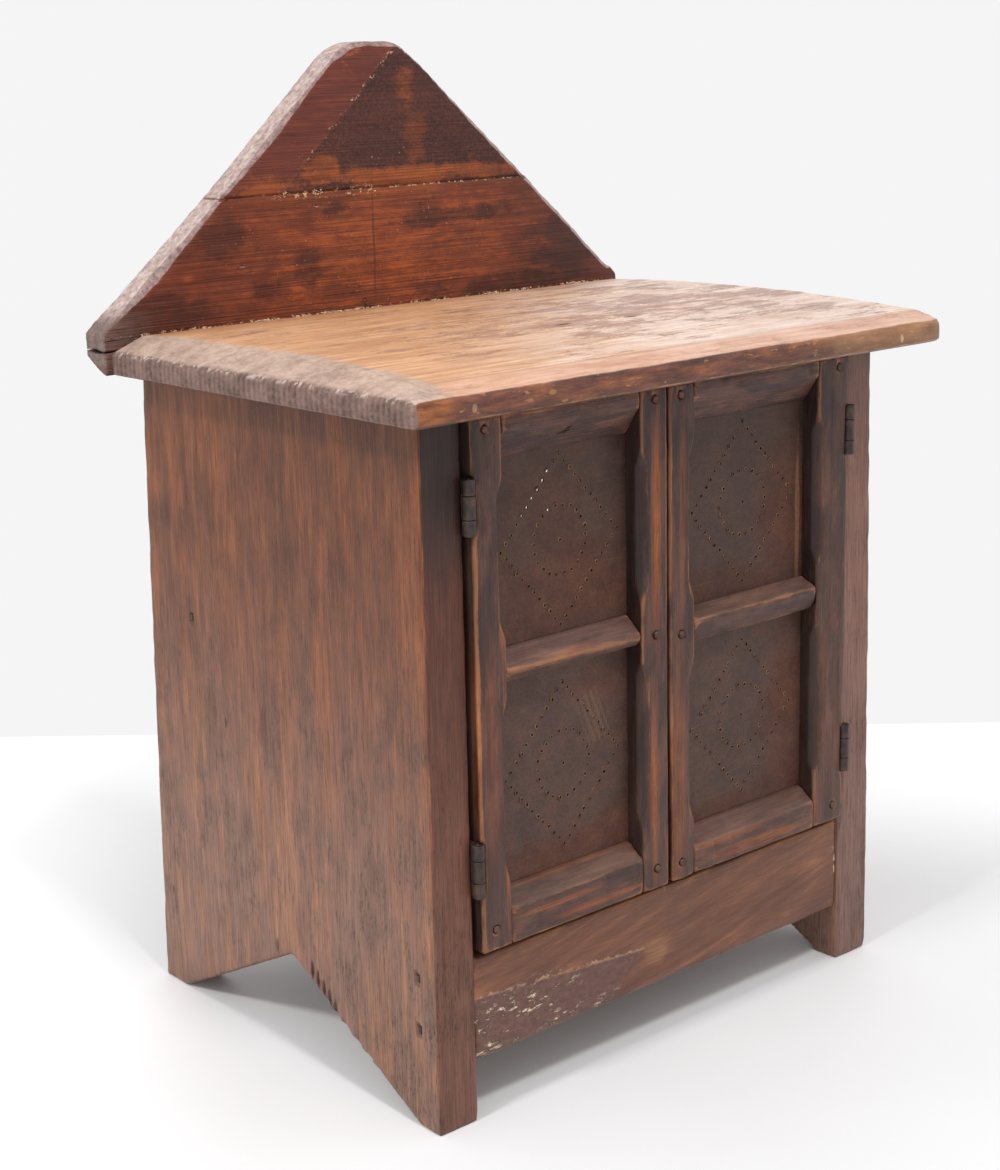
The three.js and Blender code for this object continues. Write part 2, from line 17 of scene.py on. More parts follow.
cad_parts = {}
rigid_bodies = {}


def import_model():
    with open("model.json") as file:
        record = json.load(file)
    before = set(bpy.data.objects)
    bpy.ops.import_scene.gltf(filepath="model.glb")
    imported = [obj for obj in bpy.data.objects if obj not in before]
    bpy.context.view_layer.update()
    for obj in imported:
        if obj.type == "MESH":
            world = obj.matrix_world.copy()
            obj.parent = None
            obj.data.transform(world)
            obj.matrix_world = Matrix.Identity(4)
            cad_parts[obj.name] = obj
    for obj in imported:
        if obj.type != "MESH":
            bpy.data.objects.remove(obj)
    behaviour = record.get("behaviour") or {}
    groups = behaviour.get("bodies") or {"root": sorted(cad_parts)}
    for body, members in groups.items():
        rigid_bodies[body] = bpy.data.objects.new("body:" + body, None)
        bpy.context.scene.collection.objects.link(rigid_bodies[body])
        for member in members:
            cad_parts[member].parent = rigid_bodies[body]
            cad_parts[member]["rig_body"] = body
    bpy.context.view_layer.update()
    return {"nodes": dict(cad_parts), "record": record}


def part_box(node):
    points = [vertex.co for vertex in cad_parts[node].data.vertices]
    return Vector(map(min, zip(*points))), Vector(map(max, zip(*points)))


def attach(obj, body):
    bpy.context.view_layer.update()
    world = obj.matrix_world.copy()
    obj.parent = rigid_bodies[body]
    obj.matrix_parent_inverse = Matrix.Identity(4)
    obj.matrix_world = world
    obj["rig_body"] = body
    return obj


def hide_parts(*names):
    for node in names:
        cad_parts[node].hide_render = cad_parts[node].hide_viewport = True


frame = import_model()
nodes = frame["nodes"]
MM = 0.001

# %% [markdown]
# The camera comes first, because every later choice is judged through it. The photograph was
# taken from the left and slightly above. The lens and the small shift were worked out from the
# straight edges of the cupboard, so they are written here as plain numbers of that photograph.

# %% The camera
PHOTO_WIDTH, PHOTO_HEIGHT = 1000, 1170
FOCAL_PIXELS = 2013.51
CENTRE_PIXEL = (427.37, 535.12)
EYE = Vector((-852.88, -956.43, 600.96)) * MM
AZIMUTH, ELEVATION, ROLL = (math.radians(angle) for angle in (38.858, 13.041, -1.785))
SENSOR = 36.0

forward = Vector((
    math.sin(AZIMUTH) * math.cos(ELEVATION),
    math.cos(AZIMUTH) * math.cos(ELEVATION),
    -math.sin(ELEVATION),
))
level_right = Vector((math.cos(AZIMUTH), -math.sin(AZIMUTH), 0.0))
level_up = level_right.cross(forward)
right = level_right * math.cos(ROLL) + level_up * math.sin(ROLL)
up = level_up * math.cos(ROLL) - level_right * math.sin(ROLL)

camera = bpy.data.objects.new("camera", bpy.data.cameras.new("camera"))
bpy.context.scene.collection.objects.link(camera)
camera.data.sensor_width = SENSOR
camera.data.lens = FOCAL_PIXELS * SENSOR / PHOTO_HEIGHT
camera.data.shift_x = (PHOTO_WIDTH / 2 - CENTRE_PIXEL[0]) / PHOTO_HEIGHT
camera.data.shift_y = (CENTRE_PIXEL[1] - PHOTO_HEIGHT / 2) / PHOTO_HEIGHT
camera.matrix_world = Matrix.Translation(EYE) @ Matrix((right, up, -forward)).transposed().to_4x4()
bpy.context.scene.camera = camera
print("camera at", [round(value, 3) for value in EYE], "lens", round(camera.data.lens, 1))

# %% [markdown]
# Wood is never flat or regular, so its skin needs numbers that look random but come out the
# same on each run. Lattice noise does that: it hashes the corners of a grid of boxes and blends
# between them. Long boxes give marks that run along the grain, small cubes give pits.

# %% Seeded noise for points
HASH_STEPS = (374761393, 668265263, 1274126177, 362437)


def lattice_noise(points, cell, seed):
    """One smooth value from -1 to 1 for each point; cell is the box size, one length an axis."""
    where = points / (np.array(cell) * MM)
    corner = np.floor(where).astype(np.int64)
    part = where - corner
    part = part * part * (3 - 2 * part)
    total = np.zeros(len(points))
    for step in np.ndindex(2, 2, 2):
        mixed = seed * HASH_STEPS[3] + sum((corner[:, i] + step[i]) * HASH_STEPS[i] for i in range(3))
        mixed = ((mixed ^ (mixed >> 13)) * HASH_STEPS[2]) & 0xFFFFFFFF
        value = ((mixed ^ (mixed >> 16)) & 0xFFFF) / 32767.5 - 1
        weight = np.prod([part[:, i] if step[i] else 1 - part[:, i] for i in range(3)], axis=0)
        total += weight * value
    return total


def smooth_step(value, low, high):
    """Goes softly from 0 at low to 1 at high."""
    share = np.clip((value - low) / (high - low), 0, 1)
    return share * share * (3 - 2 * share)


def smooth_fall(value, low, high):
    return 1 - smooth_step(value, low, high)


print("noise sample:", lattice_noise(np.array([[0.1, 0.2, 0.3]]), (10, 10, 10), 1).round(4))

# %% [markdown]
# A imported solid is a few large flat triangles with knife-sharp edges. Old boards have neither.
# A voxel remesh rebuilds the same solid from small even squares, which can then be moved one by
# one. It was chosen over bevels because it also copes with the scooped chamfers and the joints.

# %% From a solid to a fine even mesh
def slot_of_node(name):
    return next(part["material_slot"] for part in frame["record"]["subparts"] if part["node"] == name)


def new_object(name, mesh):
    made = bpy.data.objects.new(name, mesh)
    bpy.context.scene.collection.objects.link(made)
    return made


def merged_copy(name, source):
    """A copy of a solid whose loose triangles are joined at their corners."""
    shape = bmesh.new()
    shape.from_mesh(nodes[source].data)
    bmesh.ops.remove_doubles(shape, verts=shape.verts, dist=0.01 * MM)
    mesh = bpy.data.meshes.new(name)
    shape.to_mesh(mesh)
    shape.free()
    return new_object(name, mesh)


def settle(piece):
    """Turns a piece's modifiers into a plain mesh."""
    graph = bpy.context.evaluated_depsgraph_get()
    mesh = bpy.data.meshes.new_from_object(piece.evaluated_get(graph))
    piece.modifiers.clear()
    piece.data = mesh
    return piece


def remeshed(piece, voxel):
    change = piece.modifiers.new("remesh", "REMESH")
    change.mode = "VOXEL"
    change.voxel_size = voxel * MM
    return settle(piece)


def carved(piece, cutters):
    """Takes the cutters' shapes out of a piece."""
    mesh = bpy.data.meshes.new("cutter")
    shape = bmesh.new()
    for corners, faces in cutters:
        made = [shape.verts.new(Vector(corner) * MM) for corner in corners]
        for face in faces:
            shape.faces.new([made[i] for i in face])
    bmesh.ops.recalc_face_normals(shape, faces=shape.faces)
    shape.to_mesh(mesh)
    shape.free()
    tool = new_object("cutter", mesh)
    change = piece.modifiers.new("carve", "BOOLEAN")
    change.operation = "DIFFERENCE"
    change.solver = "MANIFOLD"
    change.object = tool
    settle(piece)
    bpy.data.objects.remove(tool)
    return piece


print("remesh helpers ready")

# %% [markdown]
# Three shapes are enough to carve old damage. A spindle, pointed at both ends, opens a crack or
# a gouge along the grain. A block opens a nail's pocket. A beam follows an edge, as a chamfer or
# a crumbled corner does. Each is a list of corners and faces, so that many are carved in one go.

# %% Cutters for cracks, gouges and pockets
BLOCK_FACES = [(0, 1, 3, 2), (4, 6, 7, 5), (0, 4, 5, 1), (2, 3, 7, 6), (0, 2, 6, 4), (1, 5, 7, 3)]
SPINDLE_FACES = [(0, 2, 4), (0, 4, 3), (0, 3, 5), (0, 5, 2), (1, 4, 2), (1, 3, 4), (1, 5, 3), (1, 2, 5)]


def block(low, high):
    corners = [(x, y, z) for x in (low[0], high[0]) for y in (low[1], high[1]) for z in (low[2], high[2])]
    return corners, BLOCK_FACES


def spindle(start, end, wide, deep, bulge=0.5):
    """A double-pointed sliver from start to end; wide and deep are its half sizes as vectors."""
    start, end, wide, deep = (Vector(value) for value in (start, end, wide, deep))
    middle = start.lerp(end, bulge)
    corners = [start, end, middle + wide, middle - wide, middle + deep, middle - deep]
    return [tuple(corner) for corner in corners], SPINDLE_FACES


def beam(sections):
    """A closed bar through equal rings of corners, such as a chamfer that follows an edge."""
    count = len(sections[0])
    corners = [corner for ring in sections for corner in ring]
    faces = [tuple(range(count)), tuple(reversed(range(len(corners) - count, len(corners))))]
    for i in range(len(sections) - 1):
        for j in range(count):
            k = (j + 1) % count
            faces.append((i * count + j, (i + 1) * count + j, (i + 1) * count + k, i * count + k))
    return corners, faces


print("cutters ready")

# %% [markdown]
# Wear follows shape: hands and cloths rub the edges and corners, and dirt stays in the hollows,
# which the finishes also darken as painted shade.
# Comparing each point with a smoothed copy of the board tells which is which. The difference
# rounds the edges, and it is kept on the points, so that the finishes can use it too.

# %% Wearing a board
WEAR_REACH = 0.9  # mm that an edge stands out over the smoothed board where wear is full
EDGE_LOSS = 0.55  # the share of that which is rubbed away
CHIP_CELL = (9, 9, 9)
SWELL_SIZE, RIPPLE_SIZE = (14.0, 120.0), (5.0, 45.0)  # mm across the grain and along it
BOARD_STEP = 0.37  # how far apart the numbers of two boards are, which shift their patterns


def smoothed(points, edges, rounds):
    """Moves each point half way to the middle of its neighbours, several times."""
    first, second = edges[:, 0], edges[:, 1]
    count = np.maximum(np.bincount(edges.ravel(), minlength=len(points)), 1)
    points = points.copy()
    for _ in range(rounds):
        for axis in range(points.shape[1]):
            column = points[:, axis]
            around = np.bincount(first, column[second], len(points))
            around += np.bincount(second, column[first], len(points))
            points[:, axis] = column / 2 + around / count / 2
    return points


def read_mesh(mesh):
    points = np.zeros(len(mesh.vertices) * 3)
    mesh.vertices.foreach_get("co", points)
    normals = np.zeros(len(mesh.vertices) * 3)
    mesh.vertices.foreach_get("normal", normals)
    edges = np.zeros(len(mesh.edges) * 2, np.int64)
    mesh.edges.foreach_get("vertices", edges)
    return points.reshape(-1, 3), normals.reshape(-1, 3), edges.reshape(-1, 2)


def keep_on_points(mesh, name, values):
    mesh.attributes.new(name, "FLOAT", "POINT").data.foreach_set("value", values.astype(np.float32))


def along_grain(along, across, lengthwise):
    """One number for each axis: lengthwise for the one down the grain, across for the others."""
    return [lengthwise if axis == along else across for axis in range(3)]


def worn(source, voxel, along, softness=1.0, wave=0.25, shaping=None, before=(), after=(), seed=1, reach=3.3,
         spare=None):
    """A worn copy of one board; along is its grain axis, reach how far wear spreads, in mm.

    spare gives the share of wear that each point is spared."""
    piece = merged_copy("worn_" + source, source)
    if before:
        carved(piece, before)
    remeshed(piece, voxel)
    points, normals, edges = read_mesh(piece.data)
    plain = smoothed(points, edges, int(4 * (reach / voxel) ** 2))
    stand = np.sum((points - plain) * normals, axis=1) / MM
    knock = np.clip(stand, 0, None)
    if spare:
        knock *= 1 - spare(points)
    chips = 0.55 + 0.45 * lattice_noise(points, CHIP_CELL, seed)
    points -= normals * (knock * chips * EDGE_LOSS * softness)[:, None] * MM
    swell = lattice_noise(points, along_grain(along, *SWELL_SIZE), seed + 1)
    swell += 0.35 * lattice_noise(points, along_grain(along, *RIPPLE_SIZE), seed + 2)
    points += normals * (swell * wave)[:, None] * MM
    if shaping:
        points = shaping(points, normals)
    piece.data.vertices.foreach_set("co", points.ravel())
    keep_on_points(piece.data, "rubbed", np.clip(stand / WEAR_REACH, 0, 1))
    # The hollows are kept too: the finishes darken them, partly as dirt and partly as painted shade.
    keep_on_points(piece.data, "dirty", np.clip(-stand / WEAR_REACH, 0, 1))
    keep_on_points(piece.data, "board", np.full(len(points), (seed * BOARD_STEP) % 5))
    piece.data.update()
    if after:
        carved(piece, after)
    piece.data.shade_smooth()
    return piece


def dress(piece, finish, *sources):
    """Gives a piece its finish, hides the solids it stands for, and lets it move with the first one's body.
    """
    piece.data.materials.clear()
    piece.data.materials.append(finish)
    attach(piece, nodes[sources[0]]["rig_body"])
    slot_of_node(sources[0])
    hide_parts(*sources)
    print(piece.name, len(piece.data.polygons), "faces")


# %% [markdown]
# Finishes are node trees, and a formula is easier to read than a web of nodes. So one small
# class stands for a socket: adding or multiplying it in Python adds the Math node that does
# it in Blender. The same class builds the Geometry Nodes trees further down.

# %% Sockets that do sums
def linear(colour):
    """A colour written as 0-255 screen values, as Blender's linear light."""
    shares = [value / 255 for value in colour]
    return [s / 12.92 if s < 0.04045 else ((s + 0.055) / 1.055) ** 2.4 for s in shares] + [1.0]


class Wire:
    """One socket of a node tree; numbers and other sockets can be added, multiplied and so on."""

    def __init__(self, tree, socket=None):
        self.tree = tree
        self.socket = socket

    def node(self, kind, inputs=None, out=0, **settings):
        """Adds one node with these settings; inputs holds the values or links of its sockets."""
        made = self.tree.nodes.new(kind)
        for key, value in settings.items():
            setattr(made, key, value)
        for key, value in (inputs or {}).items():
            if isinstance(value, Wire):
                self.tree.links.new(value.socket, made.inputs[key])
            else:
                made.inputs[key].default_value = value
        return Wire(self.tree, made.outputs[out] if len(made.outputs) else None)

    def sum_node(self, operation, *values):
        return self.node("ShaderNodeMath", dict(enumerate(values)), operation=operation)

    def vector_node(self, operation, *values, out=0):
        return self.node("ShaderNodeVectorMath", dict(enumerate(values)), out, operation=operation)

    def parts(self):
        """The three numbers of a vector."""
        outputs = self.node("ShaderNodeSeparateXYZ", {0: self}).socket.node.outputs
        return [Wire(self.tree, output) for output in outputs]

    def __add__(self, other):
        return self.sum_node("ADD", self, other)

    __radd__ = __add__

    def __sub__(self, other):
        return self.sum_node("SUBTRACT", self, other)

    def __rsub__(self, other):
        return self.sum_node("SUBTRACT", other, self)

    def __mul__(self, other):
        return self.sum_node("MULTIPLY", self, other)

    def __truediv__(self, other):
        return self.sum_node("DIVIDE", self, other)

    def most(self, other):
        return self.sum_node("MAXIMUM", self, other)

    def least(self, other):
        return self.sum_node("MINIMUM", self, other)

    def rise(self, low, high):
        """Goes softly from 0 to 1 between low and high."""
        inputs = {"Value": self, "From Min": low, "From Max": high}
        return self.node("ShaderNodeMapRange", inputs, interpolation_type="SMOOTHSTEP")

    def fall(self, low, high):
        return 1 - self.rise(low, high)

    def between(self, low, high, soft):
        """1 from low to high, fading over soft on both sides."""
        return self.rise(low - soft, low + soft) * self.fall(high - soft, high + soft)

    def mix(self, zero, one):
        """Mixes two colours, with this socket as the share of the second."""
        zero, one = (linear(c) if isinstance(c, tuple) else c for c in (zero, one))
        return self.node("ShaderNodeMix", {0: self, 6: zero, 7: one}, 2, data_type="RGBA")

    def shade(self, colour):
        """This colour times another."""
        inputs = {0: 1.0, 6: self, 7: linear(colour) if isinstance(colour, tuple) else colour}
        return self.node("ShaderNodeMix", inputs, 2, data_type="RGBA", blend_type="MULTIPLY")

    def ramp(self, *stops):
        """A colour for each value; a stop is a place from 0 to 1 and its colour."""
        made = self.node("ShaderNodeValToRGB", {"Fac": self})
        elements = made.socket.node.color_ramp.elements
        while len(elements) < len(stops):
            elements.new(0.5)
        for element, (place, colour) in zip(elements, stops):
            element.position = place
            element.color = linear(colour)
        return made

    def noise(self, scale, detail=2.0, roughness=0.5, twist=0.0):
        """Noise in boxes: scale is how many a metre, one number for cubes or one for each axis."""
        place = self.stretch((scale,) * 3 if isinstance(scale, float) else scale)
        inputs = {"Vector": place, "Scale": 1.0, "Detail": detail, "Roughness": roughness,
                  "Distortion": twist}
        return self.node("ShaderNodeTexNoise", inputs, "Fac")

    def stretch(self, scale, move=(0, 0, 0)):
        return self.node("ShaderNodeMapping", {"Vector": self, "Scale": scale, "Location": move})

    def spot(self, centre, radii, ragged=0.0, noise=0.5, soft=0.25):
        """1 inside an egg-shaped place, fading at its edge; sizes are in mm."""
        scale = [1 / (radius * MM) for radius in radii]
        move = [-centre[i] / radii[i] for i in range(3)]
        far = self.vector_node("LENGTH", self.stretch(scale, move), out="Value")
        return 1 - (far + (noise - 0.5) * ragged).rise(1 - soft, 1 + soft)


print("white in linear light:", linear((255, 255, 255)))

# %% [markdown]
# Every finish ends in the same Principled shader. Only the sockets that the export can bake are
# fed from the pattern: colour, roughness and the bump. The rest are plain numbers set once, and
# the table alone may glow as well.

# %% The ends of a finish
def start_finish(name):
    """A new material, and the place on the object in metres, from which its wires start."""
    material = bpy.data.materials.new(name)
    material.use_nodes = True
    material.node_tree.nodes.clear()
    return material, Wire(material.node_tree).node("ShaderNodeTexCoord", None, "Object")


def on_points(place, name):
    """What was kept on the points of the mesh under this name."""
    return place.node("ShaderNodeAttribute", None, "Fac", attribute_name=name)


def axes(place):
    """How far along each axis a place is, in mm."""
    return [part * 1000.0 for part in place.parts()]


def end_finish(material, colour, rough, height, depth, metal=0.0, gloss=0.5, glow=None):
    """depth is the height of the relief in mm where height is 1."""
    bump = colour.node("ShaderNodeBump", {"Height": height, "Distance": depth * MM, "Strength": 1.0})
    inputs = {"Base Color": colour, "Roughness": rough, "Normal": bump, "Metallic": metal,
              "Specular IOR Level": gloss}
    if glow is not None:
        inputs.update({"Emission Color": glow, "Emission Strength": 1.0})
    shader = colour.node("ShaderNodeBsdfPrincipled", inputs)
    colour.node("ShaderNodeOutputMaterial", {"Surface": shader})
    print("finish:", material.name, len(material.node_tree.nodes), "nodes")
    return material


def coated(colour, *coats):
    """Lays coats over a colour, the last on top: each is a mask, its strength and a tint."""
    for mask, strength, tint in coats:
        colour = (mask if strength == 1 else mask * strength).mix(colour, tint)
    return colour


def toned(colour, *patterns):
    """Darkens or lightens a colour: each row is a pattern, the factor at its 0 and that at its 1."""
    for pattern, low, high in patterns:
        colour = colour.shade(pattern * (high - low) + low)
    return colour


# %% [markdown]
# Pine shows several patterns at once: fine fibres, the lines of the yearly rings, dabs where the
# stain took more or less, and pores. All are noise stretched along the grain, written here with
# the width and length of one mark in millimetres. Each board has its own number, which shifts
# the pattern, so that no two boards look cut from the same place.

# %% Grain that all the wood shares
BOARD_SHIFT = (0.37, 0.61, 0.23)  # metres that a board's number moves the pattern, for each 1 of it


def marks(place, along, across, lengthwise, detail=3.0, roughness=0.6, twist=0.0):
    """Marks about this wide and this long in mm, from 0 to 1."""
    scale = along_grain(along, 1 / (across * MM), 1 / (lengthwise * MM))
    return place.noise(scale, detail, roughness, twist).rise(0.3, 0.7)


def shifted(place):
    """The place, moved by each board's own number."""
    mark = on_points(place, "board")
    moved = place.node("ShaderNodeCombineXYZ", {i: mark * BOARD_SHIFT[i] for i in range(3)})
    return place.vector_node("ADD", place, moved)


def scratches(place, along, across=0.9, lengthwise=9.0, share=0.6):
    """Short marks along the grain, 1 in them and 0 between; a higher share leaves fewer."""
    scale = along_grain(along, 1 / (across * MM), 1 / (lengthwise * MM))
    return place.noise(scale, 2.0, 0.6).rise(share, share + 0.08)


def blotch(place, centre, radii, noise):
    """1 in a ragged patch round a centre: the noise decides how far it reaches."""
    return (noise + place.spot(centre, radii, soft=0.9) * 0.3).rise(0.62, 0.78)


def on_face(y, deep, x, z, wide, tall):
    """The centre and the radii of a place on an upright face at y."""
    return (x, y, z), (wide, deep, tall)


def facing(place, axis, way=1):
    """How much a face looks along one axis, from -1 to 1."""
    look = place.node("ShaderNodeNewGeometry", None, "Normal").parts()[axis]
    return look if way == 1 else look * -1.0


print("grain helpers ready")

# %% [markdown]
# The side boards carry old brown stain. It has worn to orange in upright dabs, and a grey haze
# of dust lies over it; the boards grow lighter and greyer towards the foot. Their tops are painted
# darker as the shade under the top's overhang, and their front edges, beside the doors, are painted
# near charcoal at the top as the same shade. Masks by height and by place give each of these its
# own region.

# %% Finish of the side boards and the apron
SIDE_X = -195.0
POST_FRONT = -134.3
NOTCH_KNOT = (SIDE_X, 50.7, 137.0)
SAW_KERFS = [(-14.0 - 5.6 * i, 63.5 - 4.4 * i, 10.0 - 0.8 * i) for i in range(5)]


def side_finish():
    material, place = start_finish("stained_side_pine")
    x, y, z = axes(place)
    grained = shifted(place)
    fibre = marks(grained, 2, 0.8, 34.0)
    dabs = marks(grained, 2, 5.0, 50.0, 8.0, 0.66)
    bands = marks(grained, 2, 20.0, 200.0, 7.0, 0.62, 0.3)
    cloud = marks(grained, 2, 26.0, 48.0, 8.0, 0.68)
    low = z.fall(40.0, 360.0)
    orange = (bands * 0.6 + dabs * 0.2 + (1 - cloud) * 0.4).rise(0.4, 1.15) * (0.62 - low * 0.25)
    haze = (cloud * 0.8 + low * 0.3 + (1 - bands) * 0.2).rise(0.65, 1.05)
    tan = (bands * 0.5 + dabs * 0.35 + low * 0.4).rise(0.75, 1.25)
    stain = ((1 - dabs) * 0.4 + (1 - cloud) * 0.7 - low * 0.15).rise(0.66, 1.05)
    post = coated(
        low.mix((92, 56, 46), (122, 86, 74)),
        # Painted shade: the post faces are darkened to near charcoal towards the top, as the shade under the
        # top's overhang.
        (z.rise(300.0, 375.0), 0.9, (54, 43, 42)),
        ((cloud * 0.6 + low * 0.3).rise(0.4, 1.0), 0.4, (116, 84, 72)),
        (x.rise(0.0, 1.0), 0.7, low.mix((150, 114, 105), (134, 110, 106))),
    )
    colour = coated(
        low.mix((112, 69, 49), (144, 112, 100)),
        (orange, 1, (156, 96, 56)),
        (haze, 0.65, low.mix((98, 69, 59), (140, 116, 108))),
        (tan, 0.4, (190, 144, 106)),
        (stain, 0.5, (90, 58, 50)),
        (y.fall(POST_FRONT + 0.4, POST_FRONT + 1.4), 1, post),
    )
    colour = toned(colour, (fibre, 0.74, 1.18), (dabs, 0.9, 1.08), (cloud, 1.1, 0.86))
    old = scratches(grained, 2, 0.8, 5.0, 0.58) * cloud.rise(0.5, 0.8) * (low * 0.5 + 0.3)
    worn_pine = (on_points(place, "rubbed") * 0.8 + dabs * 0.5).rise(0.95, 1.25)
    # Painted shade: faces that look down, such as the slopes of the V, are darkened.
    inner = facing(place, 2, -1).rise(0.3, 0.7) * z.rise(2.0, 6.0)
    colour = coated(
        colour,
        (old, 0.75, (60, 43, 37)),
        (scratches(grained, 2, 0.7, 14.0, 0.6), 0.7, (60, 40, 33)),
        (worn_pine, 0.5, fibre.mix((144, 84, 48), (190, 126, 78))),
        # Hollows darkened: dirt and painted shade.
        (on_points(place, "dirty"), 0.8, (44, 33, 30)),
        (inner, 0.6, fibre.mix((66, 48, 42), (104, 78, 68))),
    )
    # The saw nicks are painted dark: partly their red-brown tone, partly painted shade inside the cuts.
    for kerf_y, kerf_z, length in SAW_KERFS:
        kerf_tone_and_shade = place.spot((SIDE_X, kerf_y, kerf_z), (8, 1.8, length * 0.7), 0.5, dabs)
        colour = coated(colour, (kerf_tone_and_shade, 0.85, (78, 44, 38)))
    colour = coated(colour, (place.spot(NOTCH_KNOT, (30, 8, 13), 1.1, cloud, 0.6), 0.35, (92, 62, 50)))
    colour = colour.shade((249, 236, 223))
    # Painted shade: the boards darken towards the top as the shade under the top's overhang; they are also a
    # little darker right at the foot.
    colour = toned(colour, (z.rise(300.0, 420.0), 1.0, 0.84), (z.rise(20.0, 150.0), 0.93, 1.0))
    rough = 0.46 - dabs * 0.1 + haze * 0.14
    height = fibre * 0.3 + dabs * 0.4 - old * 1.2 + cloud * 0.5
    return end_finish(material, colour, rough, height, 0.25, gloss=0.28)


def apron_finish():
    material, place = start_finish("stained_apron_pine")
    x, _, z = axes(place)
    grained = shifted(place)
    fibre = marks(grained, 0, 1.0, 26.0)
    sloped = place.node("ShaderNodeMapping", {"Vector": place, "Rotation": (0.0, math.radians(13), 0.0)})
    streaks = marks(sloped, 0, 9.0, 90.0, 8.0, 0.66, 0.5)
    cloud = marks(grained, 0, 22.0, 50.0, 8.0, 0.68)
    colour = coated(
        streaks.mix((108, 72, 58), (134, 92, 70)),
        ((streaks * 0.6 + cloud * 0.5).rise(0.65, 1.1), 0.5, (166, 114, 78)),
        ((1 - cloud).rise(0.4, 1.0), 0.35, (92, 64, 56)),
    )
    colour = toned(colour, (fibre, 0.86, 1.1))
    rag = place.noise(120.0, 4.0, 0.65)
    patch_top = x * -0.085 + 62.5 + (rag - 0.5) * 9.0
    wedge = x + (66.0 - z) * 1.2 + (rag - 0.5) * 30.0
    patch = (patch_top - z).rise(-0.5, 0.5) * wedge.fall(-28.0, -22.0)
    mauve = place.noise((180.0, 180.0, 260.0), 4.0, 0.65).rise(0.3, 0.7)
    from_top = patch_top - z
    rim = (1 - (from_top * from_top).rise(0.0, 1.6)) * x.fall(-26.0, -14.0) * rag.rise(0.4, 0.6)
    fleck = place.noise((95.0, 95.0, 270.0), 8.0, 0.82).rise(0.54, 0.57)
    near_foot = patch * z.fall(40.0, 50.0) * 0.9
    left_end = x.fall(-112.0, -70.0) * z.fall(64.0, 80.0)
    crowd = place.noise((55.0, 55.0, 75.0), 2.0).rise(0.36, 0.5)
    flaked = fleck * (near_foot + left_end).least(1.0) * crowd
    knot = place.spot((-16, -133, 60), (10, 8, 8), 0.9, rag, 0.5)
    right_end = x.rise(151.0, 154.5) * place.noise((260.0, 260.0, 160.0), 1.0).rise(0.56, 0.62)
    colour = coated(
        colour,
        (patch, 0.94, mauve.mix((96, 70, 65), (122, 92, 84))),
        (rim, 0.6, (206, 170, 140)),
        (knot, 0.6, fibre.mix((126, 92, 68), (178, 134, 98))),
        (flaked, 1, (236, 218, 194)),
        (right_end, 0.85, (222, 196, 168)),
        ((on_points(place, "rubbed") * 0.8 + streaks * 0.5).rise(0.92, 1.25), 0.5, (168, 116, 76)),
        # Hollows darkened: dirt and painted shade.
        (on_points(place, "dirty"), 0.8, (44, 33, 31)),
    )
    height = fibre * 0.3 + streaks * 0.3 + flaked * 1.6 + patch * 0.6 + mauve * patch * 0.6
    rough = 0.46 - streaks * 0.1 + patch * 0.1
    return end_finish(material, colour.shade((248, 238, 232)), rough, height, 0.3, gloss=0.28)


stained_side = side_finish()
stained_apron = apron_finish()

# %% [markdown]
# The top has lost most of its stain. Bare orange pine shows at the back left, pale rubbed wood
# in the middle, lightened further towards the front and the right by a painted sheen, and
# purple-brown remnants of stain lie in the low places. Its front edge kept dark stain with scuffs.
# The left end is bare end grain, grey with dust.

# %% Finish of the top
SAW_PITCH = 5.0
TOP_FRONT = -163.0
TOP_LEFT = -219.0
BEVEL_END = -189.0
FRONT_STRIP = -142.0


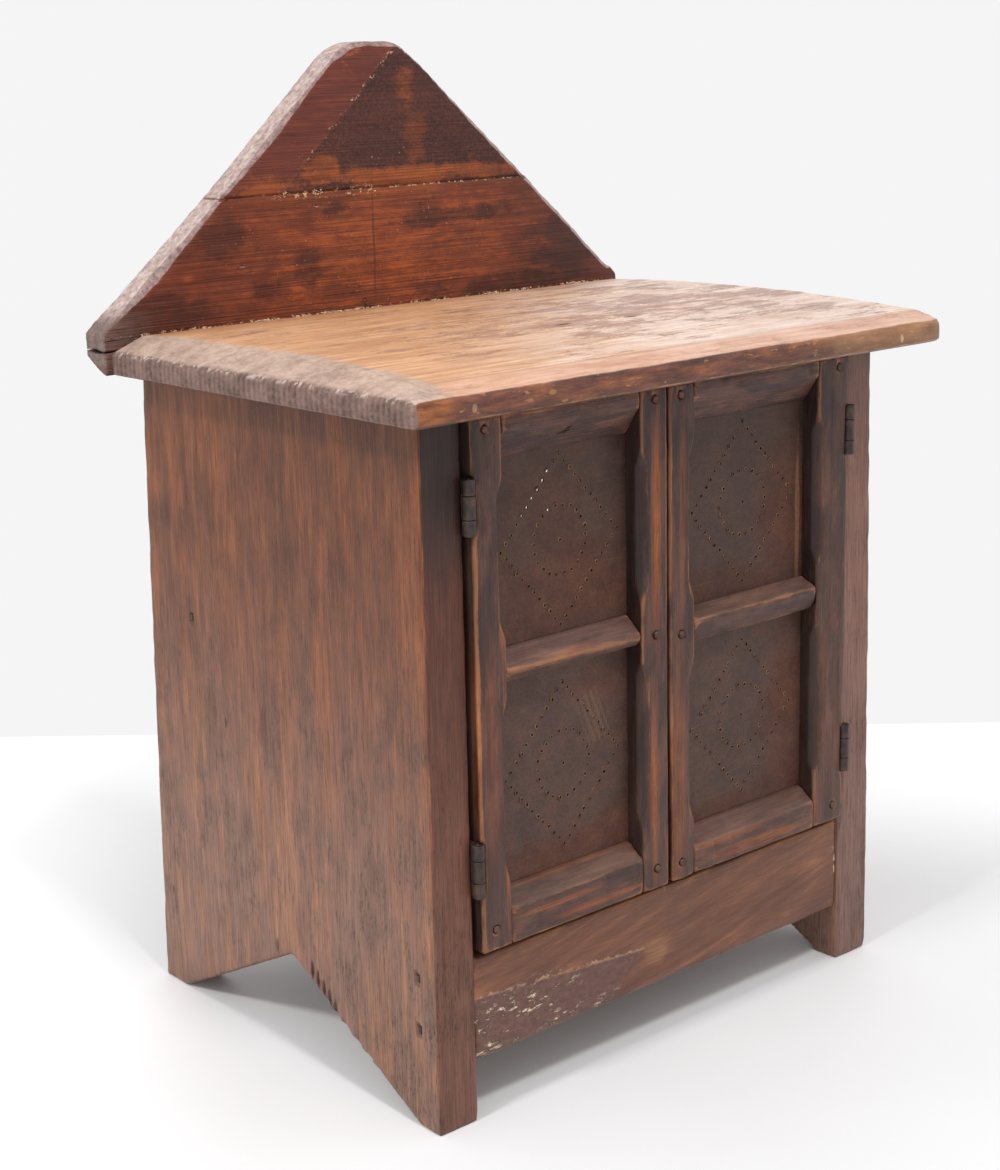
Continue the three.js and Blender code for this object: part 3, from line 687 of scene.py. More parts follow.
def top_finish():
    material, place = start_finish("rubbed_top_pine")
    x, y, z = axes(place)
    fibre = marks(place, 0, 0.9, 26.0)
    lines = marks(place, 0, 2.4, 130.0, 3.0, 0.6)
    dabs = marks(place, 0, 12.0, 44.0, 8.0, 0.74)
    cloud = marks(place, 0, 50.0, 90.0, 6.0, 0.64, 0.4)
    bare = (lines * 0.5 + dabs * 0.5).mix((188, 134, 90), (234, 186, 148))
    pale = (lines * 0.35 + dabs * 0.65).mix((208, 176, 156), (244, 222, 208))
    # Painted sheen: the top is mixed paler towards the front and the right, partly rubbed wood and partly a
    # painted sheen.
    pale_wear_and_sheen = (x * 0.0046 - y * 0.0034 + cloud * 0.5 + dabs * 0.4 - 0.15).rise(0.0, 1.0)
    amber = (cloud * 0.5 + dabs * 0.5).rise(0.55, 0.85) * (1 - pale_wear_and_sheen * 0.6)
    flakes = place.noise((19.0, 48.0, 48.0), 9.0, 0.82, 0.2)
    region = place.spot((120, 0, 443), (150, 100, 60), 0.9, cloud, 0.5) * 0.085
    region = region + place.spot((-60, -60, 443), (110, 40, 60), 0.9, cloud, 0.5) * 0.05
    remnants = (flakes + region).rise(0.555, 0.62)
    colour = coated(
        pale_wear_and_sheen.mix(bare, pale),
        (amber, 0.5, (196, 128, 72)),
        (remnants, 0.6, dabs.mix((120, 80, 74), (160, 120, 112))),
        (place.noise((10.0, 26.0, 26.0), 8.0, 0.76).rise(0.5, 0.68), 0.4, (166, 110, 76)),
    )
    colour = toned(colour, (fibre, 0.88, 1.08), (lines, 0.9, 1.05))
    strip = y.fall(FRONT_STRIP - 1.5, FRONT_STRIP + 2.0)
    bevel = 1 - (x + (flakes - 0.5) * 30.0).rise(BEVEL_END - 5, BEVEL_END + 5)
    grey = marks(place, 1, 3.0, 5.0, 6.0, 0.65)
    dusty = place.noise(60.0, 7.0, 0.62).rise(0.3, 0.7)
    colour = coated(
        colour,
        (scratches(place, 0, 0.8, 22.0, 0.61), 0.45, (124, 80, 58)),
        (y.rise(96.0, 139.0) * (1 - x.rise(-100.0, 60.0) * 0.5), 0.5, (160, 100, 58)),
        (strip, 0.75, (lines * 0.4 + dabs * 0.6).mix((170, 114, 86), (226, 178, 150))),
        (y.between(FRONT_STRIP + 0.6, FRONT_STRIP + 2.2, 0.8), 0.5, (140, 90, 66)),
        (bevel, 0.85, (grey * 0.45 + dusty * 0.55).mix((140, 116, 105), (202, 178, 164))),
    )
    rag = place.noise(50.0, 4.0, 0.65)
    front = (facing(place, 1, -1) + (rag - 0.5) * 0.35).rise(0.4, 0.62)
    edge_noise = place.noise((26.0, 80.0, 130.0), 6.0, 0.7)
    edge_stops = (0.34, (58, 37, 34)), (0.5, (104, 62, 49)), (0.62, (138, 84, 56)), (0.76, (188, 130, 84))
    right_rub = place.spot((178, TOP_FRONT, 434), (74, 8, 12), 0.8, rag, 0.6)
    left_rub = place.spot((-208, TOP_FRONT, 431), (16, 9, 12), 2.6, edge_noise, 0.4)
    edge = coated(
        edge_noise.ramp(*edge_stops),
        (place.noise((90.0, 90.0, 260.0), 4.0, 0.75).rise(0.62, 0.66), 0.45, (196, 148, 98)),
        (right_rub, 0.5, dabs.mix((150, 102, 68), (204, 158, 110))),
        (left_rub, 0.6, edge_noise.rise(0.35, 0.65).mix((118, 66, 34), (190, 118, 60))),
    )
    comb = place.sum_node("SINE", on_points(place, "saw") * (2 * math.pi / SAW_PITCH)) * 0.5 + 0.5
    chips = place.noise((160.0, 200.0, 160.0), 4.0, 0.7).rise(0.5, 0.58)
    sawn = coated(
        # The saw ridges are painted lighter on their crests and darker in their valleys, as painted shade;
        # the grey and dust are the end grain's own.
        (comb.rise(0.1, 0.9) * 0.2 + grey * 0.35 + dusty * 0.45).mix((78, 61, 54), (150, 122, 112)),
        (z.fall(420.2, 421.4), 0.7, (176, 154, 142)),
        (z.rise(431.5, 434.5) * chips, 0.7, (206, 188, 176)),
    )
    end = facing(place, 0, -1).rise(0.3, 0.6)
    right_end = facing(place, 0).rise(0.35, 0.65)
    arris = (on_points(place, "rubbed") * 0.8 + rag * 0.6).rise(0.95, 1.15) * (1 - bevel)
    bevel_rim = on_points(place, "rubbed").rise(0.5, 1.0) * bevel * (1 - end) * z.rise(434.0, 438.0)
    colour = coated(
        colour,
        (front, 1, edge),
        (end, 1, sawn),
        (right_end, 1, (grey * 0.4 + dusty * 0.6).mix((112, 80, 64), (172, 132, 108))),
        # Painted shade: faces that look down are darkened.
        (facing(place, 2, -1).rise(0.4, 0.7), 0.9, dabs.mix((80, 56, 46), (112, 82, 68))),
        (arris, 0.6, dabs.mix((190, 122, 66), (224, 166, 110))),
        (bevel_rim, 0.5, (206, 188, 176)),
    )
    spots = (
        ((-179, TOP_FRONT, 427), (1.8, 3, 2.5), 0.35, (206, 170, 130)),
        ((-123.5, TOP_FRONT, 429), (2.4, 3, 1.3), 0.35, (196, 148, 88)),
        ((89, 136, 443), (3.4, 2.4, 9), 0.9, (46, 30, 26)),
        ((-3.5, -42.6, 443), (6, 2, 6), 0.8, (84, 56, 48)),
        ((50, -47.5, 443), (5, 2, 6), 0.8, (84, 56, 48)),
        ((181, -92, 443), (13, 7, 8), 0.5, (120, 82, 68)),
        ((176, TOP_FRONT, 426), (2, 3, 3), 0.5, (216, 190, 150)),
    )
    for centre, radii, share, tint in spots:
        colour = coated(colour, (place.spot(centre, radii, 1.4, rag), share, tint))
    rough = 0.42 + remnants * 0.14 + end * 0.35 + bevel * 0.2 - strip * 0.04 - front * 0.04
    height = fibre * 0.3 + lines * 0.4 + remnants * 0.5 + front * edge_noise * 1.2 + bevel * grey * 0.3
    height = height + end * (comb * 1.1 + grey * 0.6)
    return end_finish(material, colour, rough, height, 0.25, gloss=0.32)


rubbed_top = top_finish()

# %% [markdown]
# The peaked back board kept a deep red-brown varnish. A smooth patch at its upper left was never
# scraped; beside it the surface is dark and rough, and orange wood shows where it was rubbed.
# The sloping edges are bare and pinkish grey. Cream glue has squeezed out along the joint.

# %% Finish of the back board
GALLERY_FRONT = 140.5
GLUE_LINE = 523.5
PATCH_START, PATCH_END = (2.7, 604.0), (-62.0, 543.2)


def gallery_finish():
    material, place = start_finish("varnished_back_board")
    x, _, z = axes(place)
    grained = shifted(place)
    fibre = marks(grained, 0, 0.9, 34.0)
    ridges = marks(grained, 0, 1.7, 160.0, 3.0, 0.6)
    dabs = marks(grained, 0, 9.0, 30.0, 8.0, 0.74)
    broad = marks(grained, 0, 30.0, 50.0, 8.0, 0.68, 0.3)
    ragged = place.noise((32.0, 40.0, 50.0), 9.0, 0.74)
    upper = z.rise(GLUE_LINE - 0.5, GLUE_LINE + 0.5)
    heart = place.spot((10, 140, 490), (130, 60, 60), 1.6, ragged, 0.8)
    colour = coated(
        (broad * 0.4 + dabs * 0.25 + heart * 0.35).mix((80, 38, 30), (140, 74, 46)),
        ((dabs * 0.5 + ridges * 0.25 + heart * 0.4).rise(0.6, 1.05), 0.6, (180, 98, 48)),
    )
    dark_places = (
        ((-180, 140, 450), (60, 20, 16)), ((-66, 140, 468), (14, 12, 14)), ((172, 140, 474), (44, 20, 28)),
        ((120, 140, 448), (90, 20, 10)), ((20, 140, 434), (90, 20, 8)), ((-40, 140, 513), (18, 8, 6)),
        ((-100, 140, 462), (12, 9, 8)), ((60, 140, 500), (70, 9, 7)), ((-130, 140, 500), (26, 9, 16)),
    )
    dark_wood = dabs.mix((48, 27, 24), (80, 44, 35))
    for centre, radii in dark_places:
        colour = coated(colour, (blotch(place, centre, radii, ragged), 0.65, dark_wood))
    run = (PATCH_END[0] - PATCH_START[0], PATCH_END[1] - PATCH_START[1])
    length = math.hypot(*run)
    across = (x - PATCH_START[0]) * (run[1] / length) - (z - PATCH_START[1]) * (run[0] / length)
    rough_side = (across * -1.0 + (ragged - 0.5) * 8.0).rise(-1.0, 1.0)
    grit = place.noise(420.0, 3.0, 0.7)
    dark_field = (grit.rise(0.35, 0.7) * 0.5 + broad * 0.3 + dabs * 0.2).mix((44, 28, 31), (106, 64, 56))
    high = rough_side.mix(dabs.mix((96, 50, 44), (118, 62, 50)), dark_field)
    rubbed_places = (
        (24, 588, 10, 20, 0.6), (62, 530, 66, 6, 0.8), (16, 529, 56, 8, 0.8),
        (32, 560, 12, 22, 0.35), (-96, 530, 30, 10, 0.7), (-50, 536, 14, 10, 0.7),
    )
    rubbed_wood = (ridges * 0.4 + dabs * 0.6).mix((120, 62, 36), (178, 104, 56))
    for *spread, share in rubbed_places:
        high = coated(high, (blotch(place, *on_face(140, 20, *spread), ragged), share, rubbed_wood))
    low_left = place.spot(*on_face(140, 20, -110, 430, 70, 9), 1.6, ragged, 0.5)
    colour = coated(colour, (upper, 1, high), (low_left, 0.5, dabs.mix((132, 72, 42), (168, 98, 58))))
    colour = toned(colour, (ridges, 0.84, 1.08), (fibre, 0.88, 1.08))
    specks = place.noise((330.0, 330.0, 420.0), 3.0, 0.7)
    patch_line = (1 - (across * across).rise(0.3, 5.0)) * upper * x.rise(-66.0, -60.0)
    glue = z.between(GLUE_LINE - 4.0, GLUE_LINE + 1.5, 1.5) * x.between(-84.0, -4.0, 10.0)
    thin = z.between(GLUE_LINE - 0.9, GLUE_LINE + 0.5, 0.5) * x.between(-95.0, 120.0, 14.0)
    foot = z.between(440.5, 443.6, 0.8) * specks.rise(0.54, 0.6)
    tiny = place.noise(500.0, 1.0).rise(0.73, 0.76) * place.spot((-10, 140, 500), (120, 20, 60))
    cream = specks.rise(0.55, 0.6) * glue
    for layer, share in ((thin * specks.rise(0.5, 0.58), 0.8), (patch_line * specks.rise(0.57, 0.62), 0.7),
                         (foot, 0.8), (tiny, 0.35)):
        cream = cream.most(layer * share)
    halo = z.between(GLUE_LINE - 6.0, GLUE_LINE + 3.0, 3.0) * x.between(-100.0, 60.0, 20.0) * 0.5
    joint = z.between(GLUE_LINE - 0.5, GLUE_LINE + 0.3, 0.35) * (1 - cream)
    side_face = (facing(place, 0) * facing(place, 0)).rise(0.12, 0.3)
    up_face = facing(place, 2).rise(0.2, 0.45) * (1 - z.between(GLUE_LINE - 2.0, GLUE_LINE + 2.0, 0.3))
    edge = up_face.most(side_face) * z.rise(424.0, 428.0)
    mealy = place.noise(210.0, 8.0, 0.72).rise(0.28, 0.72)
    bare = coated(mealy.mix((140, 117, 111), (210, 190, 182)), (dabs.rise(0.5, 1.0), 0.4, (196, 158, 142)))
    toward = facing(place, 1, -1)
    chamfer = edge * toward.rise(0.22, 0.4) * toward.fall(0.9, 0.97)
    chamfer = chamfer * (0.8 - x.rise(10.0, 30.0) * 0.5)
    tip = (1 - (x + (ragged - 0.5) * 40.0).rise(-204.0, -182.0)) * z.fall(450.0, 461.0)
    colour = coated(
        colour,
        (place.spot(*on_face(140, 20, -8, 486, 0.9, 44), 0.8, ragged, 0.4), 0.5, (58, 32, 28)),
        (halo * ragged.rise(0.4, 0.65), 1, (150, 84, 44)),
        (joint, 0.4, (48, 28, 25)),
        (cream, 0.9, (226, 196, 158)),
        (edge, 0.97, bare),
        (chamfer, 1, mealy.mix((92, 68, 68), (160, 132, 128))),
        (tip, 0.8, (fibre * 0.5 + dabs * 0.5).mix((62, 47, 45), (128, 104, 98))),
        (facing(place, 1).rise(0.5, 0.8), 0.75, dabs.mix((92, 64, 50), (134, 98, 76))),
        # Hollows darkened: dirt and painted shade.
        (on_points(place, "dirty"), 0.75, (36, 25, 24)),
    )
    faded = toned(colour.shade((246, 230, 218)), (x.rise(50.0, 150.0), 1.0, 0.8))
    colour = (1 - edge).mix(colour, faded)
    rough = 0.34 + rough_side * upper * 0.22 + edge * 0.45 + broad * 0.08
    height = ridges * 0.8 + fibre * 0.3 + cream * 2.0 + rough_side * upper * grit * 1.8
    height = height * (1 - edge * 0.5) + edge * mealy * 0.8
    return end_finish(material, colour, rough, height, 0.3, gloss=0.3)


varnished_gallery = gallery_finish()

# %% [markdown]
# The doors are stained almost charcoal, and painted darker still towards the top as the shade under
# the top's overhang. Where sleeves and hands rubbed the stiles the orange pine came back, in long
# streaks that follow the grain. Stiles and rails have grain in two directions, so the same recipe
# is run once for each.

# %% Finish of the doors
def door_finish(name, along, rubs):
    material, place = start_finish(name)
    x, y, z = axes(place)
    grained = shifted(place)
    fibre = marks(grained, along, 0.8, 24.0)
    bands = marks(grained, along, 2.6, 100.0, 5.0, 0.66)
    dabs = marks(grained, along, 10.0, 40.0, 8.0, 0.7)
    # Lighter towards the foot and darker towards the top: partly stain, partly painted shade under the top's
    # overhang.
    low = z.fall(120.0, 400.0)
    cloud = marks(grained, along, 18.0, 60.0, 8.0, 0.7)
    colour = coated(
        dabs.mix((72, 49, 44), (102, 70, 60)),
        ((low * 0.7 + dabs * 0.3).rise(0.2, 1.0), 0.7, dabs.mix((94, 66, 56), (122, 88, 75))),
        ((1 - cloud).rise(0.3, 0.8) * (0.72 - low * 0.25), 1, (46, 34, 33)),
    )
    colour = toned(colour, (bands, 0.88, 1.08))
    streak = (bands * 0.7 + dabs * 0.4).rise(0.86, 1.1) * (0.1 + low * 0.25)
    colour = streak.mix(colour, (142, 90, 58))
    rubbed_wood = dabs.mix((142, 70, 32), (206, 120, 58))
    for centre, radii, strength in rubs:
        rub = place.spot(centre, radii, 1.4, bands * 0.6 + dabs * 0.4, 0.4) * strength
        colour = (rub * (0.35 + bands * 0.65)).mix(colour, rubbed_wood)
    edges = (on_points(place, "rubbed") * 0.8 + dabs * 0.4 + bands * 0.15).rise(0.9, 1.15)
    colour = coated(colour, (edges, 0.5, bands.mix((134, 82, 50), (190, 130, 84))))
    colour = coated(
        toned(colour, (fibre, 0.84, 1.12)),
        (scratches(grained, along, 0.7, 14.0, 0.6), 0.5, (34, 25, 24)),
        # Hollows darkened: dirt and painted shade.
        (on_points(place, "dirty"), 0.9, (26, 20, 19)),
    )
    if along == 2:
        # Painted shade: the side faces of the stiles, behind their front, are darkened as the shade in the
        # recesses.
        painted_recess_shade = (facing(place, 0) * facing(place, 0)).rise(0.2, 0.75) * y.rise(-139.5, -137.5)
        colour = coated(colour, (painted_recess_shade, 0.72, dabs.mix((30, 23, 22), (50, 38, 35))))
        colour = toned(colour, (x.rise(-60.0, -30.0), 1.0, 0.9))
    else:
        # Painted highlight: faces of the rails that look up are mixed lighter.
        up = facing(place, 2).rise(0.15, 0.6)
        colour = coated(colour, (up, 0.3, dabs.mix((128, 100, 90), (158, 132, 122))))
        # Painted light: the top rails are lightened to offset the shade under the top's overhang.
        colour = toned(colour, (z.between(254.0, 288.0, 4.0), 0.97, 1.1), (z.rise(376.0, 388.0), 1.0, 1.4),
                       (z.rise(150.0, 200.0), 0.94, 1.0))
    height = fibre * 0.3 + bands * 0.4 + dabs * 0.5
    return end_finish(material, colour.shade((246, 238, 232)), 0.36 + dabs * 0.12, height, 0.32, gloss=0.32)


STILE_RUBS = (
    ((-21.5, -140.0, 335.0), (4.4, 9.0, 66.0), 0.75), ((-24.5, -139.0, 170.0), (3.2, 9.0, 62.0), 0.7),
    ((-12.5, -140.0, 330.0), (1.4, 6.0, 70.0), 0.6), ((-143.5, -140.0, 190.0), (1.3, 8.0, 60.0), 1.0),
    ((-162.5, -140.0, 235.0), (1.4, 8.0, 62.0), 0.9), ((-144.0, -139.0, 300.0), (2.0, 8.0, 22.0), 0.6),
    ((-153.0, -140.5, 225.0), (5.0, 3.0, 56.0), 0.35), ((-4.0, -140.0, 175.0), (6.5, 6.0, 80.0), 0.5),
    ((0.5, -140.0, 340.0), (3.0, 6.0, 60.0), 0.4), ((138.0, -141.0, 240.0), (12.0, 4.0, 120.0), 0.1),
)
RAIL_RUBS = (
    ((-104.0, -140.0, 121.0), (30.0, 6.0, 1.8), 0.7), ((-66.0, -140.0, 112.0), (40.0, 6.0, 2.0), 0.7),
    ((-90.0, -140.0, 272.0), (20.0, 6.0, 2.2), 0.55), ((70.0, -140.0, 112.0), (44.0, 6.0, 4.0), 0.6),
    ((50.0, -140.0, 274.5), (50.0, 5.0, 1.2), 0.5), ((-90.0, -138.0, 136.0), (50.0, 10.0, 1.2), 0.8),
    ((-75.0, -140.0, 394.0), (28.0, 6.0, 2.4), 0.3), ((40.0, -140.0, 122.0), (36.0, 6.0, 2.4), 0.45),
)
dark_stile = door_finish("dark_door_stile", 2, STILE_RUBS)
dark_rail = door_finish("dark_door_rail", 0, RAIL_RUBS)

# %% [markdown]
# The shelf and the floor board are only seen from behind or with the doors open. They are plain
# dry pine, darkened by age, with dust along the edges.

# %% Finish of the inside boards
def inside_finish():
    material, place = start_finish("dry_inside_pine")
    grained = shifted(place)
    fibre = marks(grained, 0, 1.0, 26.0)
    lines = marks(grained, 0, 4.0, 160.0, 3.0)
    cloud = marks(grained, 0, 34.0, 80.0, 5.0, 0.65)
    colour = coated(lines.mix((104, 76, 56), (150, 114, 86)), (cloud, 0.5, (92, 72, 62)))
    colour = coated(
        toned(colour, (fibre, 0.84, 1.12)),
        (scratches(grained, 0, 0.9, 14.0, 0.6), 0.5, (56, 42, 35)),
        ((on_points(place, "rubbed") * 0.8 + fibre * 0.3).rise(0.85, 1.05), 0.5, (164, 128, 98)),
    )
    return end_finish(material, colour, 0.7 - cloud * 0.1, fibre * 0.6 + lines * 0.5, 0.3, gloss=0.3)


dry_inside = inside_finish()

# %% [markdown]
# The tins are sheet iron that has lost its bright coat. Brown-grey patina covers them, with
# rusty bloom near the edges and under the holes. Some of the little burrs round the holes are
# rubbed bright and painted with a glint, others are as dark as the sheet.

# %% Finish of the tins and the ironwork
TIN_FACE = -127
BLOOMS = (
    (-80, 300, 60, 30, 0.5), (-58, 242, 22, 14, 0.3), (108, 320, 22, 60, 0.5), (110, 200, 18, 66, 0.5),
    (-94, 345, 26, 40, 0.3), (-70, 145, 60, 12, 0.5), (60, 283, 60, 10, 0.4), (60, 138, 60, 9, 0.4),
)


def tin_finish():
    material, place = start_finish("aged_punched_tin")
    x, _, z = axes(place)
    mottle = place.noise(60.0, 8.0, 0.72).rise(0.25, 0.75)
    broad = place.noise(18.0, 8.0, 0.66, 0.4).rise(0.3, 0.7)
    tooth = place.noise(800.0, 2.0, 0.6).rise(0.3, 0.7)
    bloom = (broad * mottle).rise(0.35, 0.8) * 0.3
    for *spread, strength in BLOOMS:
        patch = place.spot(*on_face(TIN_FACE, 20, *spread), 1.6, mottle * 0.4 + broad * 0.6, 0.7)
        bloom = bloom.most(patch * strength)
    colour = coated(
        mottle.mix((60, 44, 40), (88, 66, 58)),
        (broad, 0.3, (88, 70, 60)),
        (bloom, 1, mottle.mix((80, 45, 35), (116, 72, 50))),
        (place.spot(*on_face(TIN_FACE, 20, 119.5, 312, 2.0, 50), 0.6, mottle), 0.5, (156, 116, 84)),
    )
    upper, right_door = z.rise(255.0, 275.0), x.rise(-20.0, 20.0)
    colour = toned(colour, (tooth, 0.82, 1.14), (upper, 1.16, 0.96), (right_door, 1.04, 0.96))
    # Painted glint: some burrs are mixed lighter, partly rubbed metal and partly a painted glint.
    glint = place.noise(150.0, 2.0, 0.6).rise(0.4, 0.62)
    colour = coated(
        colour,
        (on_points(place, "burr") * (0.12 + glint * 0.55), 1, (154, 122, 92)),
        (on_points(place, "rib"), 0.4, (132, 114, 98)),
        (place.noise((40.0, 40.0, 700.0), 1.0, 0.5, 1.5).rise(0.64, 0.7), 0.12, (132, 108, 90)),
    )
    rough = 0.4 + bloom * 0.35 + mottle * 0.12
    height = mottle * 0.7 + tooth * 0.3 + bloom * 0.4
    return end_finish(material, colour.shade((244, 232, 226)), rough, height, 0.15, metal=0.2, gloss=0.35)


def iron_finish():
    material, place = start_finish("dark_forged_iron")
    mottle = place.noise(160.0, 4.0, 0.6).rise(0.3, 0.7)
    pitting = place.noise(700.0, 2.0, 0.5)
    colour = coated(
        mottle.mix((44, 34, 31), (74, 59, 52)),
        (mottle.rise(0.7, 1.0), 0.4, (104, 66, 46)),
        ((on_points(place, "rubbed") * 0.8 + mottle * 0.3).rise(0.7, 1.0), 0.5, (146, 124, 112)),
    )
    height = mottle * 0.5 - pitting.rise(0.6, 0.7) * 0.6
    return end_finish(material, colour, 0.38 + mottle * 0.2, height, 0.12, metal=0.4, gloss=0.5)


aged_tin = tin_finish()
dark_iron = iron_finish()

# %% [markdown]
# The sides are thick boards with a V cut at the foot. The back edge is wavy where it was split
# rather than planed, the right one leans in a little towards the top, and the saw left steps
# inside the V and a row of nicks beside it. Nails were driven through them into the apron and the
# shelf: each sits in a small dark pocket, carved after the remesh so that it stays crisp.

# %% The two side boards
BACK_EDGE = 162.2
NOTCH_STEPS = (18.0, 62.0)
RIGHT_LEAN = ([0, 60, 270, 410], [2.4, 2.4, -0.6, -3.2])  # heights, and how far out the side is there


def shape_side(points, normals):
    x, y, z = points.T / MM
    moved = points.copy()
    at_back = smooth_step(y, BACK_EDGE - 12, BACK_EDGE)
    waves = 1.1 * lattice_noise(points, (400, 400, 46), 31) + 0.7 * lattice_noise(points, (400, 400, 17), 32)
    moved[:, 1] -= at_back * (0.7 + 0.8 * waves) * MM
    outer_right = smooth_step(x, 178, 185)
    lean = np.interp(z, *RIGHT_LEAN)
    moved[:, 0] += outer_right * lean * MM
    sloped = (normals[:, 2] < -0.3) & (y < 16) & (y > -112) & (z > 4)
    steps = np.sin(z * 1.15) + 0.6 * lattice_noise(points, (60, 3, 3), 33)
    amount = smooth_step(z, NOTCH_STEPS[0], NOTCH_STEPS[0] + 8) * smooth_fall(z, 50, NOTCH_STEPS[1])
    moved += normals * (sloped * amount * steps * 0.55)[:, None] * MM
    foot = smooth_fall(z, 0, 7) * smooth_step(np.abs(y), 100, 130)
    moved += normals * (-0.35 * foot)[:, None] * MM
    moved[:, 2] = np.maximum(moved[:, 2], 0.05 * MM)
    return moved


def nail_pocket(x, y, z, aim):
    """A pocket a little wider than a cut nail's head, open towards aim along X."""
    inner, outer = x - aim * 0.9, x + aim * 6
    return block((min(inner, outer), y - 2.0, z - 3.0), (max(inner, outer), y + 2.0, z + 3.0))


SIDE_FACE = -195.2
APRON_NAIL_HEIGHTS = (62.0, 94.0)
SHELF_NAIL_HEIGHT = 265.7
SIDE_NAILS = [(side, -118.9, z) for side in (-1, 1) for z in APRON_NAIL_HEIGHTS]
SIDE_NAILS += [(side, 101.6, SHELF_NAIL_HEIGHT) for side in (-1, 1)]
left_cuts = [nail_pocket(SIDE_FACE, y, z, -1) for side, y, z in SIDE_NAILS if side < 0]
for start, end, wide, deep in (
    ((103.6, 262.2), (102.2, 269.4), (0.9, 0), 3.0), ((101.4, 259.8), (104.4, 262.6), (0.7, 0.4), 2.0),
    ((144.2, 64.5), (144.4, 69.4), (0.6, 0), 1.2), ((68.2, 200.6), (68.0, 206.2), (0.5, 0), 0.8),
    ((22.5, 62.0), (22.7, 71.5), (1.4, 0), 7.0),
):
    left_cuts.append(spindle((SIDE_X, *start), (SIDE_X, *end), (0, *wide), (deep, 0, 0)))
for y, z, length in SAW_KERFS:
    ends = (SIDE_X, y, z - length * 0.5), (SIDE_X, y - 0.6, z + length * 0.5)
    left_cuts.append(spindle(*ends, (0, 1.5, 0), (3.2, 0, 0), 0.3))
right_cuts = [nail_pocket(187.0 if z < 150 else 184.8, y, z, 1) for side, y, z in SIDE_NAILS if side > 0]
left_side = worn("left_side", 2.0, 2, 1.0, 0.22, shape_side, after=left_cuts, seed=11)
right_side = worn("right_side", 2.0, 2, 1.3, 0.25, shape_side, after=right_cuts, seed=12)
dress(left_side, stained_side, "left_side")
dress(right_side, stained_side, "right_side")

# %% [markdown]
# Inside are the apron, the floor board and one shelf. The apron's lower edge is worn round, and
# its right end stops short of the post in a ragged dark gap.

# %% The apron and the inside boards
FLOOR_LAP = 5.0
FLOOR_DIP = 2.0


def shape_apron(points, normals):
    _, y, z = points.T / MM
    moved = points.copy()
    low = smooth_fall(z, 37, 44)
    moved[:, 2] += low * (0.5 + 0.6 * lattice_noise(points, (36, 200, 200), 41)) * MM
    moved[:, 1] += smooth_fall(y, -133.6, -126) * low * 1.2 * MM
    return moved


def shape_floor(points, normals):
    """Brings the front edge forward between the sides, and down on to the apron's top edge."""
    x, y, _ = points.T / MM
    moved = points.copy()
    inside = smooth_step(x, -166, -161) * smooth_fall(x, 151, 156)
    front = inside * smooth_fall(y, -112, -104)
    moved[:, 1] -= front * FLOOR_LAP * MM
    moved[:, 2] -= front * np.clip(-normals[:, 2], 0, 1) * FLOOR_DIP * MM
    return moved


apron_cuts = [
    spindle((155.4, -134, 100), (155.8, -134, 50), (0.9, 0, 0), (0, 5, 0), 0.4),
    spindle((-165.6, -134, 78), (-165.4, -134, 36), (0.8, 0, 0), (0, 4, 0), 0.7),
]
apron = worn("apron", 1.5, 0, 0.9, 0.25, shape_apron, after=apron_cuts, seed=13)
dress(apron, stained_apron, "apron")
floor_board = worn("floor_board", 3.0, 0, 1.0, 0.35, shape_floor, seed=14)
dress(floor_board, dry_inside, "floor_board")
dress(worn("middle_shelf", 3.0, 0, 1.0, 0.35, seed=15), dry_inside, "middle_shelf")

# %% [markdown]
# The top's left end is rough-sawn end grain: upright ridges about five millimetres apart, chipped
# where they meet the bevel. The ridges are real, because they break the board's outline.

# %% The top
def saw_travel(points):
    """How far the saw had come at a point, in mm: every SAW_PITCH of it leaves one ridge."""
    return points[:, 1] / MM + 1.1 * lattice_noise(points, (200, 16, 200), 51)


def shape_top(points, normals):
    x, y, z = points.T / MM
    moved = points.copy()
    ridges = 0.5 * np.sin(saw_travel(points) * 2 * math.pi / SAW_PITCH)
    at_end = smooth_fall(x, TOP_LEFT, TOP_LEFT + 3.5)
    depth = 0.7 + 0.6 * lattice_noise(points, (200, 34, 12), 52)
    moved[:, 0] += at_end * (0.5 - ridges * depth) * MM
    chipped = smooth_fall(x, TOP_LEFT + 0.5, TOP_LEFT + 5) * smooth_step(z, 429, 433)
    ragged = np.clip(0.2 + ridges + 0.7 * lattice_noise(points, (8, 5, 200), 53), 0, None)
    moved[:, 2] -= chipped * ragged * 1.1 * MM
    planed = (z > 428) & (normals[:, 2] > 0.6)
    hollow = lattice_noise(points, (160, 46, 200), 54) + 0.4 * lattice_noise(points, (50, 12, 200), 55)
    moved[:, 2] += planed * hollow * 0.22 * MM
    corner = smooth_step(x, 206, 219) * smooth_fall(y, TOP_FRONT, TOP_FRONT + 13)
    moved[:, 0] -= corner * 1.6 * MM
    moved[:, 1] += corner * 1.6 * MM
    front = smooth_fall(y, TOP_FRONT, TOP_FRONT + 5)
    moved[:, 1] += front * np.clip(lattice_noise(points, (30, 60, 12), 56), 0, None) * 0.8 * MM
    return moved


top_cuts = [
    spindle((86, 137.6, 444), (93, 135.4, 444), (0, 1.2, 0), (0, 0, 3.0)),
    spindle((-8, -42.4, 443.6), (2, -43, 443.6), (0, 0.8, 0), (0, 0, 1.0)),
    spindle((46, -47, 443.6), (55, -48, 443.6), (0, 0.7, 0), (0, 0, 1.0)),
]
top = worn("top_board", 2.0, 0, 0.7, 0.12, shape_top, after=top_cuts, seed=16)
keep_on_points(top.data, "saw", saw_travel(read_mesh(top.data)[0]))
dress(top, rubbed_top, "top_board")

# %% [markdown]
# The back board's sloping front edge was taken off with a knife. A beam of triangular section
# that follows the measured edge carves that chamfer before the remesh. The left tip is split
# along the grain and its lower corner has crumbled away.

